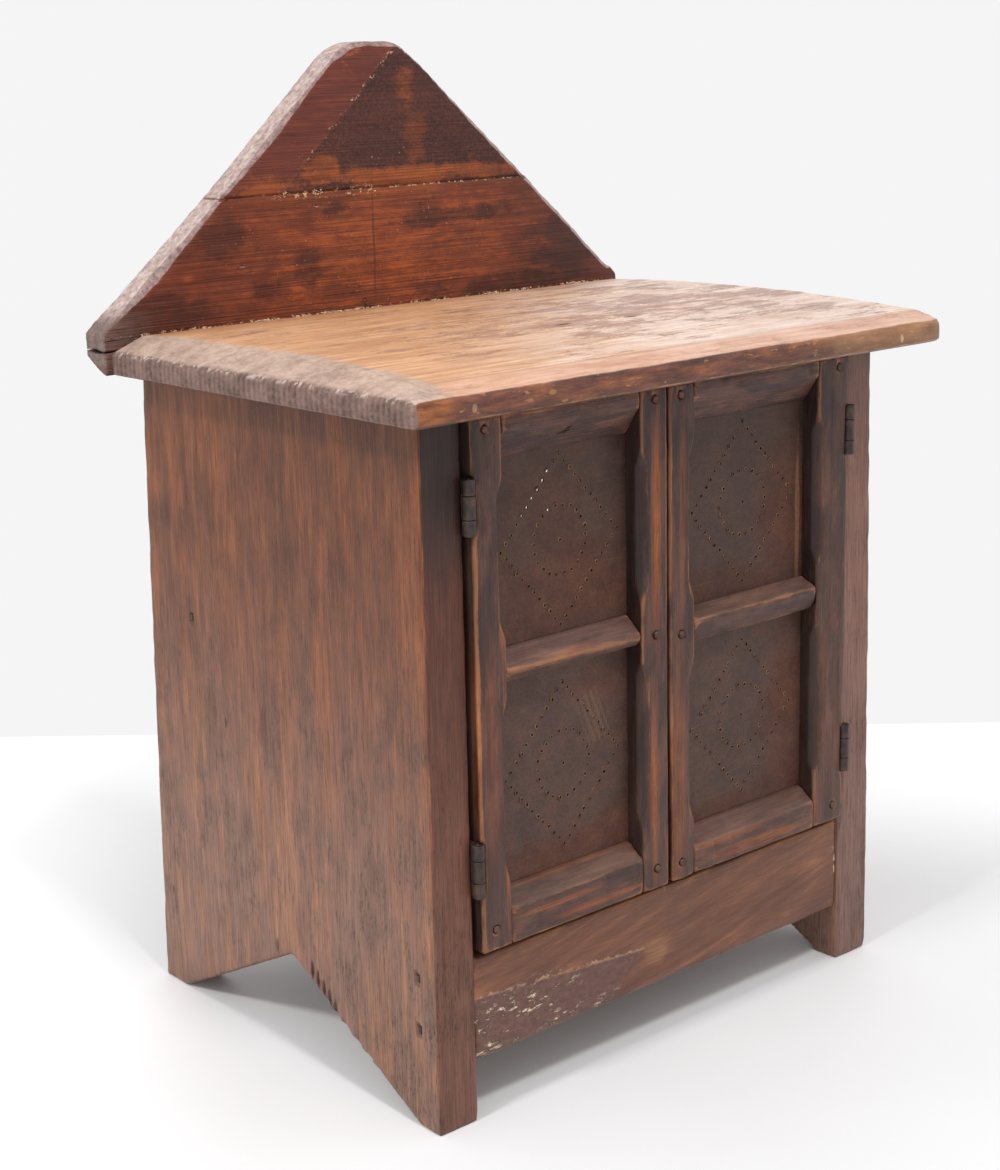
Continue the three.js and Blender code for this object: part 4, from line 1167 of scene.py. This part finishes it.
# %% The two back boards
CHAMFER_EDGE = (
    (-214.0, 452.3, 1.2), (-199.1, 461.5, 3.4), (-179.6, 475.6, 5.0), (-158.3, 496.3, 5.5),
    (-132.9, 519.2, 6.0), (-107.6, 540.6, 6.0), (-89.4, 555.6, 6.0), (-73.4, 570.9, 6.0),
    (-55.5, 589.5, 5.5), (-37.4, 607.1, 4.5), (-20.4, 615.7, 3.0), (-8.6, 617.5, 2.5),
    (22.1, 616.2, 2.6), (35.2, 605.6, 3.2), (79.1, 565.1, 3.6), (129.1, 522.6, 3.6),
    (179.1, 479.6, 3.4), (213.2, 449.6, 3.2),
)
CHAMFER_OUT = 0.1  # how far inside the edge the cut starts, for each mm of its drop
CHAMFER_BACK = 6.5 / 6  # how far the cut runs back, for each mm that it runs out
JOINT_REACH = 1.4
JOINT_LAP = 0.15
SLOPE_RUN = 1.15


def chamfer_beam():
    """A triangular bar that takes the arris off the sloping edge."""
    rings = []
    for i, (x, z, drop) in enumerate(CHAMFER_EDGE):
        before = CHAMFER_EDGE[max(i - 1, 0)]
        after = CHAMFER_EDGE[min(i + 1, len(CHAMFER_EDGE) - 1)]
        run = Vector((after[0] - before[0], after[1] - before[1])).normalized()
        out = (-run[1], run[0])
        inward, far = CHAMFER_OUT * drop, 2.2 * drop
        front = (x - out[0] * inward, GALLERY_FRONT - CHAMFER_BACK * inward, z - out[1] * inward)
        back = (x + out[0] * far, GALLERY_FRONT + CHAMFER_BACK * far, z + out[1] * far)
        lead = (x + out[0] * far, GALLERY_FRONT - 4, z + out[1] * far)
        rings.append([front, back, lead])
    return beam(rings)


def left_tip(points):
    """1 at the left tip of the lower board, 0 away from it."""
    x, _, z = points.T / MM
    return smooth_fall(x, -218, -186) * smooth_fall(z, 452, 462)


def shape_gallery(points, normals):
    x, _, z = points.T / MM
    moved = points.copy()
    sloping = (normals[:, 2] > 0.25) & (z > 424)
    rough = 0.5 * lattice_noise(points, (22, 60, 22), 61) + 0.3 * lattice_noise(points, (5, 9, 5), 62)
    moved += normals * (sloping * rough * 0.8)[:, None] * MM
    tip = left_tip(points)
    splinters = lattice_noise(points, (40, 5, 2.4), 63) + 0.5 * lattice_noise(points, (9, 3, 2), 64)
    moved += normals * (tip * splinters * 0.45)[:, None] * MM
    side = 1 if np.mean(z) < GLUE_LINE else -1
    near_joint = side * (GLUE_LINE - z) < JOINT_REACH
    lift = near_joint * (GLUE_LINE + side * JOINT_LAP - z)
    moved[near_joint, 2] = (GLUE_LINE + side * JOINT_LAP) * MM
    moved[:, 0] -= np.sign(x) * smooth_step(np.abs(x), 108, 120) * lift * SLOPE_RUN * MM
    return moved


top_crack = spindle((-89, 138, 563.0), (-84, 160, 571.0), (2.0, 0, -2.2), (0, 6, 0.6), 0.3)
tip_cuts = [
    spindle((-228, 152, 434.4), (-184, 146, 435.6), (0, 17, 0.4), (0, 0.4, 2.0), 0.15),
    spindle((-226, 140, 441.0), (-196, 139, 441.6), (0, 3.0, 0), (0, 0, 0.7), 0.3),
    spindle((-222, 139, 430.0), (-180, 140, 431.2), (0, 3.0, 0), (0, 0, 0.8), 0.3),
    spindle((-205, 139, 437.5), (-172, 140, 438.4), (0, 2.2, 0), (0, 0, 0.6), 0.5),
    beam([[(-226, 140, 417), (-226, 140, 419.6), (-226, 166, 436.0), (-226, 166, 417)],
          [(-219, 140, 417), (-219, 140, 418.4), (-219, 166, 431.0), (-219, 166, 417)],
          [(-209, 140, 417), (-209, 140, 418.0), (-209, 166, 420.5), (-209, 166, 417)]]),
    top_crack,
    spindle((-63, 139.8, 514.6), (-46, 139.8, 514.0), (0, 0, 1.4), (0, 1.6, 0)),
    spindle((-121, 139.8, 479.5), (-112, 139.8, 479.0), (0, 0, 0.7), (0, 1.4, 0)),
]
chamfer = [chamfer_beam()]
lower = worn("gallery_lower_board", 1.5, 0, 0.9, 0.3, shape_gallery, chamfer, tip_cuts, 17, spare=left_tip)
upper = worn("gallery_upper_board", 1.5, 0, 0.9, 0.25, shape_gallery, chamfer, [top_crack], 18)
dress(lower, varnished_gallery, "gallery_lower_board")
dress(upper, varnished_gallery, "gallery_upper_board")

# %% [markdown]
# Each door is five pieces of wood, and they stay five, so that the joints between them are real.
# Their scooped chamfers come from the solids. The stain is rubbed and the joints have opened a
# little, most at the top of the left door, where the rail has also split round a small knot.

# %% The doors' wood
DOOR_STILES = ("left_hinge_stile", "left_meeting_stile", "right_meeting_stile", "right_hinge_stile")
DOOR_RAILS = [f"{side}_{level}_rail" for side in ("left", "right") for level in ("top", "middle", "bottom")]
DOOR_FACE = -140.3
MEETING_LINE = -10.2
door_cuts = {
    "left_top_rail": [
        spindle((-106, -140, 397.0), (-80, -140, 400.8), (0, 0, 1.5), (0, 9, 0), 0.6),
        spindle((-93, -140, 399.6), (-83, -140, 403.4), (0, 0, 1.2), (0, 8, 0), 0.5),
        spindle((-140.6, -141, 417), (-140.2, -141, 389), (0.9, 0, 0), (0, 5, 0), 0.3),
    ],
}
for name, start, end, half in (
    ("left_middle_rail", (-88, 271), (-78, 273), 0.8),
    ("left_meeting_stile", (-26.5, 264.4), (-20, 266.2), 1.3),
    ("right_meeting_stile", (-1.0, 262.6), (4.5, 260.6), 1.2),
):
    ends = (start[0], -140.6, start[1]), (end[0], -140.6, end[1])
    door_cuts[name] = [spindle(*ends, (0, 0, half), (0, 2, 0), 0.6)]


def shape_door(points, normals):
    x, y, z = points.T / MM
    moved = points.copy()
    face = smooth_fall(y, DOOR_FACE, DOOR_FACE + 8)
    gouges = np.clip(lattice_noise(points, (5, 20, 60), 71) - 0.35, 0, None)
    moved[:, 1] += face * gouges * 0.8 * MM
    beside = smooth_fall(np.abs(x - MEETING_LINE), 0, 4)
    widening = beside * smooth_fall(z, 110, 250) * (x > MEETING_LINE - 0.4)
    moved[:, 0] += widening * 1.5 * MM
    return moved


for order, name in enumerate((*DOOR_STILES, *DOOR_RAILS)):
    upright = name in DOOR_STILES
    cuts = door_cuts.get(name, ())
    piece = worn(name, 1.2, 2 if upright else 0, 0.8, 0.16, shape_door, after=cuts, seed=20 + order)
    dress(piece, dark_stile if upright else dark_rail, name)

# %% [markdown]
# The hinges are small iron butts, knocked about but sound. Their leaves lie between door and
# post, so what shows is the barrel. A fine remesh rounds the faceted barrel and keeps the gaps
# between its knuckles.

# %% The hinges
for side in ("left", "right"):
    for level in ("lower", "upper"):
        for part in ("case_leaf", "door_leaf", "pin"):
            name = f"{side}_{level}_hinge_{part}"
            dress(worn(name, 0.5, 2, 0.5, 0.03, seed=40, reach=0.9), dark_iron, name)

# %% [markdown]
# The punched tins follow a rule: a diamond of holes round a ring, with one hole in the middle.
# That is work for Geometry Nodes. The tree cuts the holes through a dented sheet, sets a burred
# rim round each one, and takes its sizes as inputs, so that one tree makes all four tins.

# %% A helper for Geometry Nodes
KINDS = {float: "NodeSocketFloat", int: "NodeSocketInt", tuple: "NodeSocketVector"}


def grow(name, build, sizes, finish, seed_mesh=None):
    """Builds a tree with these named inputs, runs it and returns the plain mesh as an object."""
    tree = bpy.data.node_groups.new(name, "GeometryNodeTree")
    for way in ("INPUT", "OUTPUT"):
        tree.interface.new_socket("Geometry", in_out=way, socket_type="NodeSocketGeometry")
    keys = {}
    for label, value in sizes.items():
        socket = tree.interface.new_socket(label, in_out="INPUT", socket_type=KINDS[type(value)])
        keys[label] = socket.identifier
    start = tree.nodes.new("NodeGroupInput")
    root = Wire(tree)
    inputs = {output.name: Wire(tree, output) for output in start.outputs if output.name}
    shape = realized(root, build(root, inputs))
    painted = root.node("GeometryNodeSetMaterial", {0: shape, "Material": finish})
    root.node("NodeGroupOutput", {0: painted})
    piece = new_object(name, seed_mesh or bpy.data.meshes.new(name))
    change = piece.modifiers.new(name, "NODES")
    change.node_group = tree
    for label, value in sizes.items():
        change[keys[label]] = value
    settle(piece)
    print(name, len(piece.data.polygons), "faces")
    return piece


def realized(root, shape):
    return root.node("GeometryNodeRealizeInstances", {0: shape})


def xyz(root, x=0.0, y=0.0, z=0.0):
    return root.node("ShaderNodeCombineXYZ", {0: x, 1: y, 2: z})


def random_vector(root, low, high, seed):
    return root.node("FunctionNodeRandomValue", {0: low, 1: high, 8: seed}, data_type="FLOAT_VECTOR")


def random_number(root, low, high, seed):
    return root.node("FunctionNodeRandomValue", {2: low, 3: high, 8: seed}, 1, data_type="FLOAT")


def turned_by(root, angles):
    return root.node("FunctionNodeEulerToRotation", {0: angles})


def moved_by(root, shape, offset):
    return root.node("GeometryNodeSetPosition", {"Geometry": shape, "Offset": offset})


def stored(root, shape, name, value):
    return root.node("GeometryNodeStoreNamedAttribute", {"Geometry": shape, "Name": name, "Value": value})


def points_along(root, curve, count):
    return root.node("GeometryNodeCurveToPoints", {"Curve": curve, "Count": count}, mode="COUNT")


def placed_on(root, points, shape, scale, rotation=None):
    inputs = {"Points": points, "Instance": shape, "Scale": scale}
    if rotation is not None:
        inputs["Rotation"] = rotation
    return root.node("GeometryNodeInstanceOnPoints", inputs)


def gathered(root, *shapes):
    """Joins shapes; the join node takes all of them in one socket."""
    made = root.node("GeometryNodeJoinGeometry")
    for shape in shapes:
        root.tree.links.new(shape.socket, made.socket.node.inputs[0])
    return made


print("helpers for Geometry Nodes ready")

# %% The tree of a punched tin
HOLE_SIDES = 8
RIM_SIDES = 9
PANEL_FADE = 0.0012  # metres over which the ribbed panel fades into the sheet


def four_points(root, points):
    """A closed line through four points."""
    inputs = dict(zip((7, 8, 9, 10), points))
    return root.node("GeometryNodeCurvePrimitiveQuadrilateral", inputs, mode="POINTS")


def circle(root, radius, sides):
    return root.node("GeometryNodeCurvePrimitiveCircle", {"Radius": radius, "Resolution": sides})


def pattern_points(root, size):
    """The middle, the ring and the diamond, each point a little out of place."""
    across, tall = size["Diamond Width"] * 0.5, size["Diamond Height"] * 0.5
    tips = (xyz(root, across), xyz(root, 0.0, tall), xyz(root, across * -1.0), xyz(root, 0.0, tall * -1.0))
    middle = root.node("GeometryNodePoints", {"Count": 1})
    diamond = points_along(root, four_points(root, tips), size["Diamond Holes"])
    ring = points_along(root, circle(root, size["Ring Radius"], 64), size["Ring Holes"])
    shift = random_vector(root, (-1.0, -1.0, 0.0), (1.0, 1.0, 0.0), size["Seed"])
    shift = root.node("ShaderNodeVectorMath", {0: shift, "Scale": size["Jitter"]}, operation="SCALE")
    return moved_by(root, gathered(root, middle, diamond, ring), shift)


def burr(root, size):
    """A low ring of torn metal, closed, standing on the sheet's front."""
    radius, rise = size["Hole Radius"], size["Rim Height"]
    foot = size["Thickness"] * 0.4
    profile = four_points(root, (
        xyz(root, radius * 0.02, foot), xyz(root, radius * 0.12, rise * -1.0),
        xyz(root, radius * 0.35, rise * -0.85), xyz(root, size["Rim Radius"] - radius, foot),
    ))
    rim = {"Curve": circle(root, radius, RIM_SIDES), "Profile Curve": profile}
    ring = root.node("GeometryNodeCurveToMesh", rim)
    lifted = moved_by(root, ring, xyz(root, 0.0, 0.0, size["Thickness"] * 0.5))
    return stored(root, lifted, "burr", 1.0)


def dented(root, shape, size):
    """Broad dents, and where Rib Depth isn't zero a panel of plain raised ribs."""
    where = root.node("GeometryNodeInputPosition")
    flat = root.vector_node("MULTIPLY", where, (1.0, 1.0, 0.0))
    dents = root.node("ShaderNodeTexNoise", {"Vector": flat, "Scale": 22.0, "Detail": 1.5}) - 0.5
    turned = {"Vector": where, "Center": size["Rib Place"], "Angle": size["Rib Turn"]}
    turned = root.node("ShaderNodeVectorRotate", turned, rotation_type="Z_AXIS")
    long, wide, _ = root.vector_node("SUBTRACT", turned, size["Rib Place"]).parts()
    panel = long.between(size["Rib Length"] * -0.5, size["Rib Length"] * 0.5, PANEL_FADE)
    panel = panel * wide.between(size["Rib Width"] * -0.5, size["Rib Width"] * 0.5, PANEL_FADE)
    waves = root.sum_node("COSINE", wide * (2 * math.pi) / size["Rib Pitch"])
    ribs = panel * (waves * 0.5 + 0.5)
    lift = dents * size["Dent Depth"] + ribs * size["Rib Depth"]
    shape = stored(root, shape, "rib", ribs * size["Rib Depth"] * 1000.0)
    return moved_by(root, shape, xyz(root, 0.0, 0.0, lift))


def punched_tin(root, size):
    holes = pattern_points(root, size)
    wide = random_number(root, 0.75, 1.1, size["Seed"])
    rod = {"Vertices": HOLE_SIDES, "Radius": size["Hole Radius"], "Depth": size["Thickness"] * 6.0}
    punch = root.node("GeometryNodeMeshCylinder", rod)
    punches = realized(root, placed_on(root, holes, punch, wide))
    plate = {"Size": xyz(root, size["Width"], size["Height"], size["Thickness"]),
             "Vertices X": size["Columns"], "Vertices Y": size["Rows"], "Vertices Z": 2}
    plate = root.node("GeometryNodeMeshCube", plate)
    cut = {"operation": "DIFFERENCE", "solver": "MANIFOLD"}
    sheet = root.node("GeometryNodeMeshBoolean", {0: plate, 1: punches}, **cut)
    turn = turned_by(root, random_vector(root, (-0.25, -0.25, 0.0), (0.25, 0.25, 6.3), size["Seed"]))
    rims = realized(root, placed_on(root, holes, burr(root, size), wide, turn))
    return dented(root, gathered(root, sheet, rims), size)


print("the tree of a punched tin is ready")

# %% The four tins
DIAMOND = (91.0, 101.0)
RING_RADIUS = 20.5
TIN_STEP = 1.5
RIBBED = "left_lower_tin"
RIB_CENTRE = (-62.6, 222.7)
PUNCH_SIZES = {
    "Diamond Width": DIAMOND[0] * MM, "Diamond Height": DIAMOND[1] * MM, "Diamond Holes": 44,
    "Ring Radius": RING_RADIUS * MM, "Ring Holes": 22, "Hole Radius": 1.0 * MM,
    "Rim Radius": 1.9 * MM, "Rim Height": 0.5 * MM, "Jitter": 0.45 * MM, "Dent Depth": 1.5 * MM,
    "Rib Turn": math.radians(67.7), "Rib Length": 33.0 * MM, "Rib Width": 18.0 * MM, "Rib Pitch": 4.5 * MM,
}

for order, name in enumerate(("left_upper_tin", "left_lower_tin", "right_upper_tin", "right_lower_tin")):
    low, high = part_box(name)
    size = high - low
    middle = (low + high) / 2
    ribs = name == RIBBED
    tin = grow("punched_" + name, punched_tin, {
        **PUNCH_SIZES, "Width": size.x, "Height": size.z, "Thickness": size.y,
        "Columns": int(size.x / MM / TIN_STEP), "Rows": int(size.z / MM / TIN_STEP),
        "Rib Place": ((RIB_CENTRE[0] * MM - middle.x) * ribs, (RIB_CENTRE[1] * MM - middle.z) * ribs, 0.0),
        "Rib Depth": (1.0 if ribs else 0.0) * MM, "Seed": 5 + order,
    }, aged_tin)
    tin.data.transform(Matrix.Translation(middle) @ Matrix.Rotation(math.pi / 2, 4, "X"))
    dress(tin, aged_tin, name)

# %% [markdown]
# Pegs and nails repeat, so one more tree makes them: a shank with a slightly domed head, set on
# each point and turned to its direction. The points carry their own size and aim. The door
# frames get round pegs of wood, and the case gets cut nails with oblong heads.

# %% Pegs and nails
def studs(root, size):
    """A closed stud on each point of the mesh: its shank runs back from the point."""
    aim, wide = (root.node("GeometryNodeInputNamedAttribute", {0: name}, data_type="FLOAT_VECTOR")
                 for name in ("aim", "wide"))
    turned = root.node("FunctionNodeAlignRotationToVector", {"Vector": aim}, axis="Z")
    spin = turned_by(root, xyz(root, 0.0, 0.0, random_number(root, -0.12, 0.12, size["Seed"])))
    turned = root.node("FunctionNodeRotateRotation", {0: turned, 1: spin}, rotation_space="LOCAL")
    shank = {"Vertices": size["Sides"], "Radius Top": 1.0, "Radius Bottom": size["Point Share"], "Depth": 1.0}
    shank = moved_by(root, root.node("GeometryNodeMeshCone", shank), (0.0, 0.0, -1.0))
    cap = {"Vertices": size["Sides"], "Radius Top": size["Crown Share"], "Radius Bottom": 1.0,
           "Depth": size["Crown Height"]}
    cap = moved_by(root, root.node("GeometryNodeMeshCone", cap), (0.0, 0.0, -0.001))
    turn = {"Geometry": gathered(root, shank, cap), "Rotation": size["Corner Turn"]}
    return placed_on(root, size["Geometry"], root.node("GeometryNodeTransform", turn), wide, turned)


def points_mesh(name, places):
    """Loose points in mm, each with the way it aims and its half width, half height and length."""
    mesh = bpy.data.meshes.new(name)
    mesh.from_pydata([Vector(place) * MM for place, aim, wide in places], [], [])
    for label, column, scale in (("aim", 1, 1.0), ("wide", 2, MM)):
        values = np.array([row[column] for row in places], np.float32) * scale
        mesh.attributes.new(label, "FLOAT_VECTOR", "POINT").data.foreach_set("vector", values.ravel())
    return mesh


def box_mm(name):
    """The low corner, the middle and the high corner of a solid, in mm."""
    low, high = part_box(name)
    return low / MM, (low + high) / 2 / MM, high / MM


PEG_PLACES = ("hinge_top", "hinge_bottom", "meeting_top", "meeting_middle", "meeting_bottom")
PEG_HALF = (2.15, 2.15, 16.0)
PEG_SUNK = 0.75  # mm that a peg's shank ends behind the front of its solid
PEG_SIZES = {"Sides": 10, "Point Share": 0.9, "Crown Share": 0.72, "Crown Height": 0.035,
             "Corner Turn": (0.0, 0.0, 0.0), "Seed": 3}
for side in ("left", "right"):
    names = [f"{side}_{place}_peg" for place in PEG_PLACES]
    places = []
    for name in names:
        low, middle, _ = box_mm(name)
        places.append(((middle.x, low.y + PEG_SUNK, middle.z), (0, -1, 0), PEG_HALF))
    pegs = grow(side + "_door_pegs", studs, PEG_SIZES, dark_rail, points_mesh("pegs", places))
    for label, value in (("rubbed", 0.6), ("board", 1.7)):
        keep_on_points(pegs.data, label, np.full(len(pegs.data.vertices), value))
    dress(pegs, dark_rail, *names)

CORNER = math.sqrt(2.0)
NAIL_SIZES = {"Sides": 4, "Point Share": 0.5, "Crown Share": 0.8, "Crown Height": 0.016,
              "Corner Turn": (0.0, 0.0, math.pi / 4), "Seed": 8}
SIDE_HEAD, GALLERY_HEAD = (2.3 * CORNER, 1.3 * CORNER, 40.0), (1.3 * CORNER, 2.3 * CORNER, 36.0)
nail_names, nail_places = [], []
for side, _, z in SIDE_NAILS:
    word = "left" if side < 0 else "right"
    number = APRON_NAIL_HEIGHTS.index(z) + 1 if z in APRON_NAIL_HEIGHTS else 0
    nail_names.append(f"{word}_apron_nail_{number}" if number else f"{word}_shelf_nail")
    low, middle, high = box_mm(nail_names[-1])
    face = low.x if side < 0 else high.x
    nail_places.append(((face - side * 0.1, middle.y, middle.z), (side, 0, 0), SIDE_HEAD))
for word in ("left", "middle", "right"):
    nail_names.append("gallery_nail_" + word)
    _, middle, high = box_mm(nail_names[-1])
    nail_places.append(((middle.x, high.y + 0.4, middle.z), (0, 1, 0), GALLERY_HEAD))
nails = grow("case_nails", studs, NAIL_SIZES, dark_iron, points_mesh("nails", nail_places))
dress(nails, dark_iron, *nail_names)

# %% [markdown]
# Dried glue and paint crumbs lie along the joint of the back board and the top, and along the
# glue line above it. They follow a line, so Geometry Nodes scatter them: points along a curve,
# thinned out by noise, each with a small lumpy grain of its own size.

# %% Crumbs of dried glue
def crumbs(root, size):
    line = root.node("GeometryNodeCurvePrimitiveLine", {"Start": size["Start"], "End": size["End"]})
    rows = points_along(root, line, size["Count"])
    spread = random_vector(root, (-1.0, -1.0, -1.0), (1.0, 1.0, 1.0), size["Seed"])
    rows = moved_by(root, rows, root.vector_node("MULTIPLY", spread, size["Spread"]))
    where = root.node("GeometryNodeInputPosition")
    patches = root.node("ShaderNodeTexNoise", {"Vector": where, "Scale": size["Patchiness"], "Detail": 1.0})
    bare = root.sum_node("LESS_THAN", patches, size["Thinning"])
    rows = root.node("GeometryNodeDeleteGeometry", {0: rows, 1: bare}, domain="POINT")
    grain_shape = root.node("GeometryNodeMeshIcoSphere", {"Radius": size["Crumb"], "Subdivisions": 1})
    scale = random_vector(root, (0.4, 0.3, 0.25), (1.6, 0.9, 0.7), size["Seed"])
    turn = turned_by(root, random_vector(root, (-0.4, -0.4, 0.0), (0.4, 0.4, 6.3), size["Seed"]))
    return placed_on(root, rows, grain_shape, scale, turn)


def crumb_finish():
    material, place = start_finish("dried_glue")
    mottle = place.noise(400.0, 2.0)
    colour = mottle.mix((160, 122, 84), (226, 206, 174))
    return end_finish(material, colour, mottle * 0.2 + 0.65, mottle, 0.1, gloss=0.3)


dried_glue = crumb_finish()
# Each row: start, end and spread in mm, how many, grain size in mm, patches a metre, share left bare
CRUMB_ROWS = {
    "joint_crumbs": ((-196.0, 139.4, 442.7), (212.0, 139.4, 442.7), (2.0, 1.1, 0.5), 520, 0.85, 45.0, 0.53),
    "glue_line_crumbs": ((-82.0, 140.3, 523.4), (-6.0, 140.3, 522.6), (1.5, 0.3, 1.6), 130, 0.8, 60.0, 0.48),
}
for order, (name, (start, end, spread, count, crumb, patchy, thin)) in enumerate(CRUMB_ROWS.items()):
    grains = grow(name, crumbs, {
        "Start": tuple(v * MM for v in start), "End": tuple(v * MM for v in end),
        "Spread": tuple(v * MM for v in spread), "Count": count, "Crumb": crumb * MM,
        "Patchiness": patchy, "Thinning": thin, "Seed": 21 + order,
    }, dried_glue)
    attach(grains, "case")

# %% [markdown]
# The cupboard stands on a plain pale table whose far edge shows as a faint line. Its far part is
# painted white and glows faintly for the camera and reflections, as painted light. A white wall is
# far behind. The world shows the wall's colour to the camera and to reflections, and lights
# the object at a plain level. One soft lamp above and one at the left stand for the studio's.

# %% The table
HORIZON = ((-37.0, 707.0), (657.0, 88.0))
TABLE_REACH = 3.0
FAR_START, FAR_END = 180.0, 520.0
FAR_GLOW = (104, 102, 100)


def seen_rays(wire):
    """1 for what the camera sees, straight or in a gloss or through glass, and 0 for light."""
    rays = wire.node("ShaderNodeLightPath").socket.node.outputs
    camera_ray, glossy, passing = (Wire(wire.tree, rays[f"Is {kind} Ray"])
                                   for kind in ("Camera", "Glossy", "Transmission"))
    return camera_ray.most(glossy).most(passing)


def table_finish():
    material, place = start_finish("pale_table")
    x, y, _ = axes(place)
    mottle = place.noise(6.0, 2.0)
    grit = place.noise(300.0, 2.0)
    # Painted light: the table's far part is mixed to white and glows faintly for the camera and reflections.
    far = (y * 0.9 + x).most(y * 0.7 - x * 0.9).rise(FAR_START, FAR_END)
    colour = far.mix(mottle.mix((239, 238, 239), (245, 244, 244)), (255, 255, 255))
    glow = (far * seen_rays(place)).mix((0, 0, 0), FAR_GLOW)
    return end_finish(material, colour, mottle * 0.1 + 0.5, grit, 0.02, gloss=0.3, glow=glow)


first, second = (Vector(corner) * MM for corner in HORIZON)
run = (second - first).normalized()
near = Vector((run.y, -run.x))
if near.dot(Vector(EYE[:2]) - first) < 0:
    near = -near
corners = [first - run * TABLE_REACH, second + run * TABLE_REACH]
corners += [corners[1] + near * TABLE_REACH, corners[0] + near * TABLE_REACH]
mesh = bpy.data.meshes.new("table")
mesh.from_pydata([(corner.x, corner.y, 0.0) for corner in corners], [], [(0, 1, 2, 3)])
mesh.update()
if mesh.polygons[0].normal.z < 0:
    mesh.flip_normals()
table = new_object("table", mesh)
table.data.materials.append(table_finish())

# %% The wall and the light
WALL = (245, 245, 245)
LIGHT_TINT = (251, 253, 255)
WORLD_LIGHT = 0.74


def studio_world():
    world = bpy.data.worlds.new("studio")
    world.use_nodes = True
    world.node_tree.nodes.clear()
    wire = Wire(world.node_tree)
    wall = wire.node("ShaderNodeBackground", {"Color": linear(WALL), "Strength": 1.0})
    light = wire.node("ShaderNodeBackground", {"Color": linear(LIGHT_TINT), "Strength": WORLD_LIGHT})
    both = wire.node("ShaderNodeMixShader", {0: seen_rays(wire), 1: light, 2: wall})
    wire.node("ShaderNodeOutputWorld", {"Surface": both})
    return world


def soft_lamp(name, place, aim, size, power):
    """A square lamp in metres and watts, turned to what it aims at."""
    lamp = bpy.data.lights.new(name, "AREA")
    lamp.shape = "SQUARE"
    lamp.size = size
    lamp.energy = power
    holder = bpy.data.objects.new(name, lamp)
    bpy.context.scene.collection.objects.link(holder)
    holder.location = place
    holder.rotation_euler = (Vector(aim) - Vector(place)).to_track_quat("-Z", "Y").to_euler()
    return holder


bpy.context.scene.world = studio_world()
soft_lamp("overhead_softbox", (-0.3, -1.1, 2.2), (0.0, 0.0, 0.25), 0.3, 17.5)
soft_lamp("left_softbox", (-1.5, -0.25, 1.75), (0.0, 0.0, 0.3), 0.25, 16.0)
bpy.context.scene.view_settings.view_transform = "Standard"
print("studio lit")
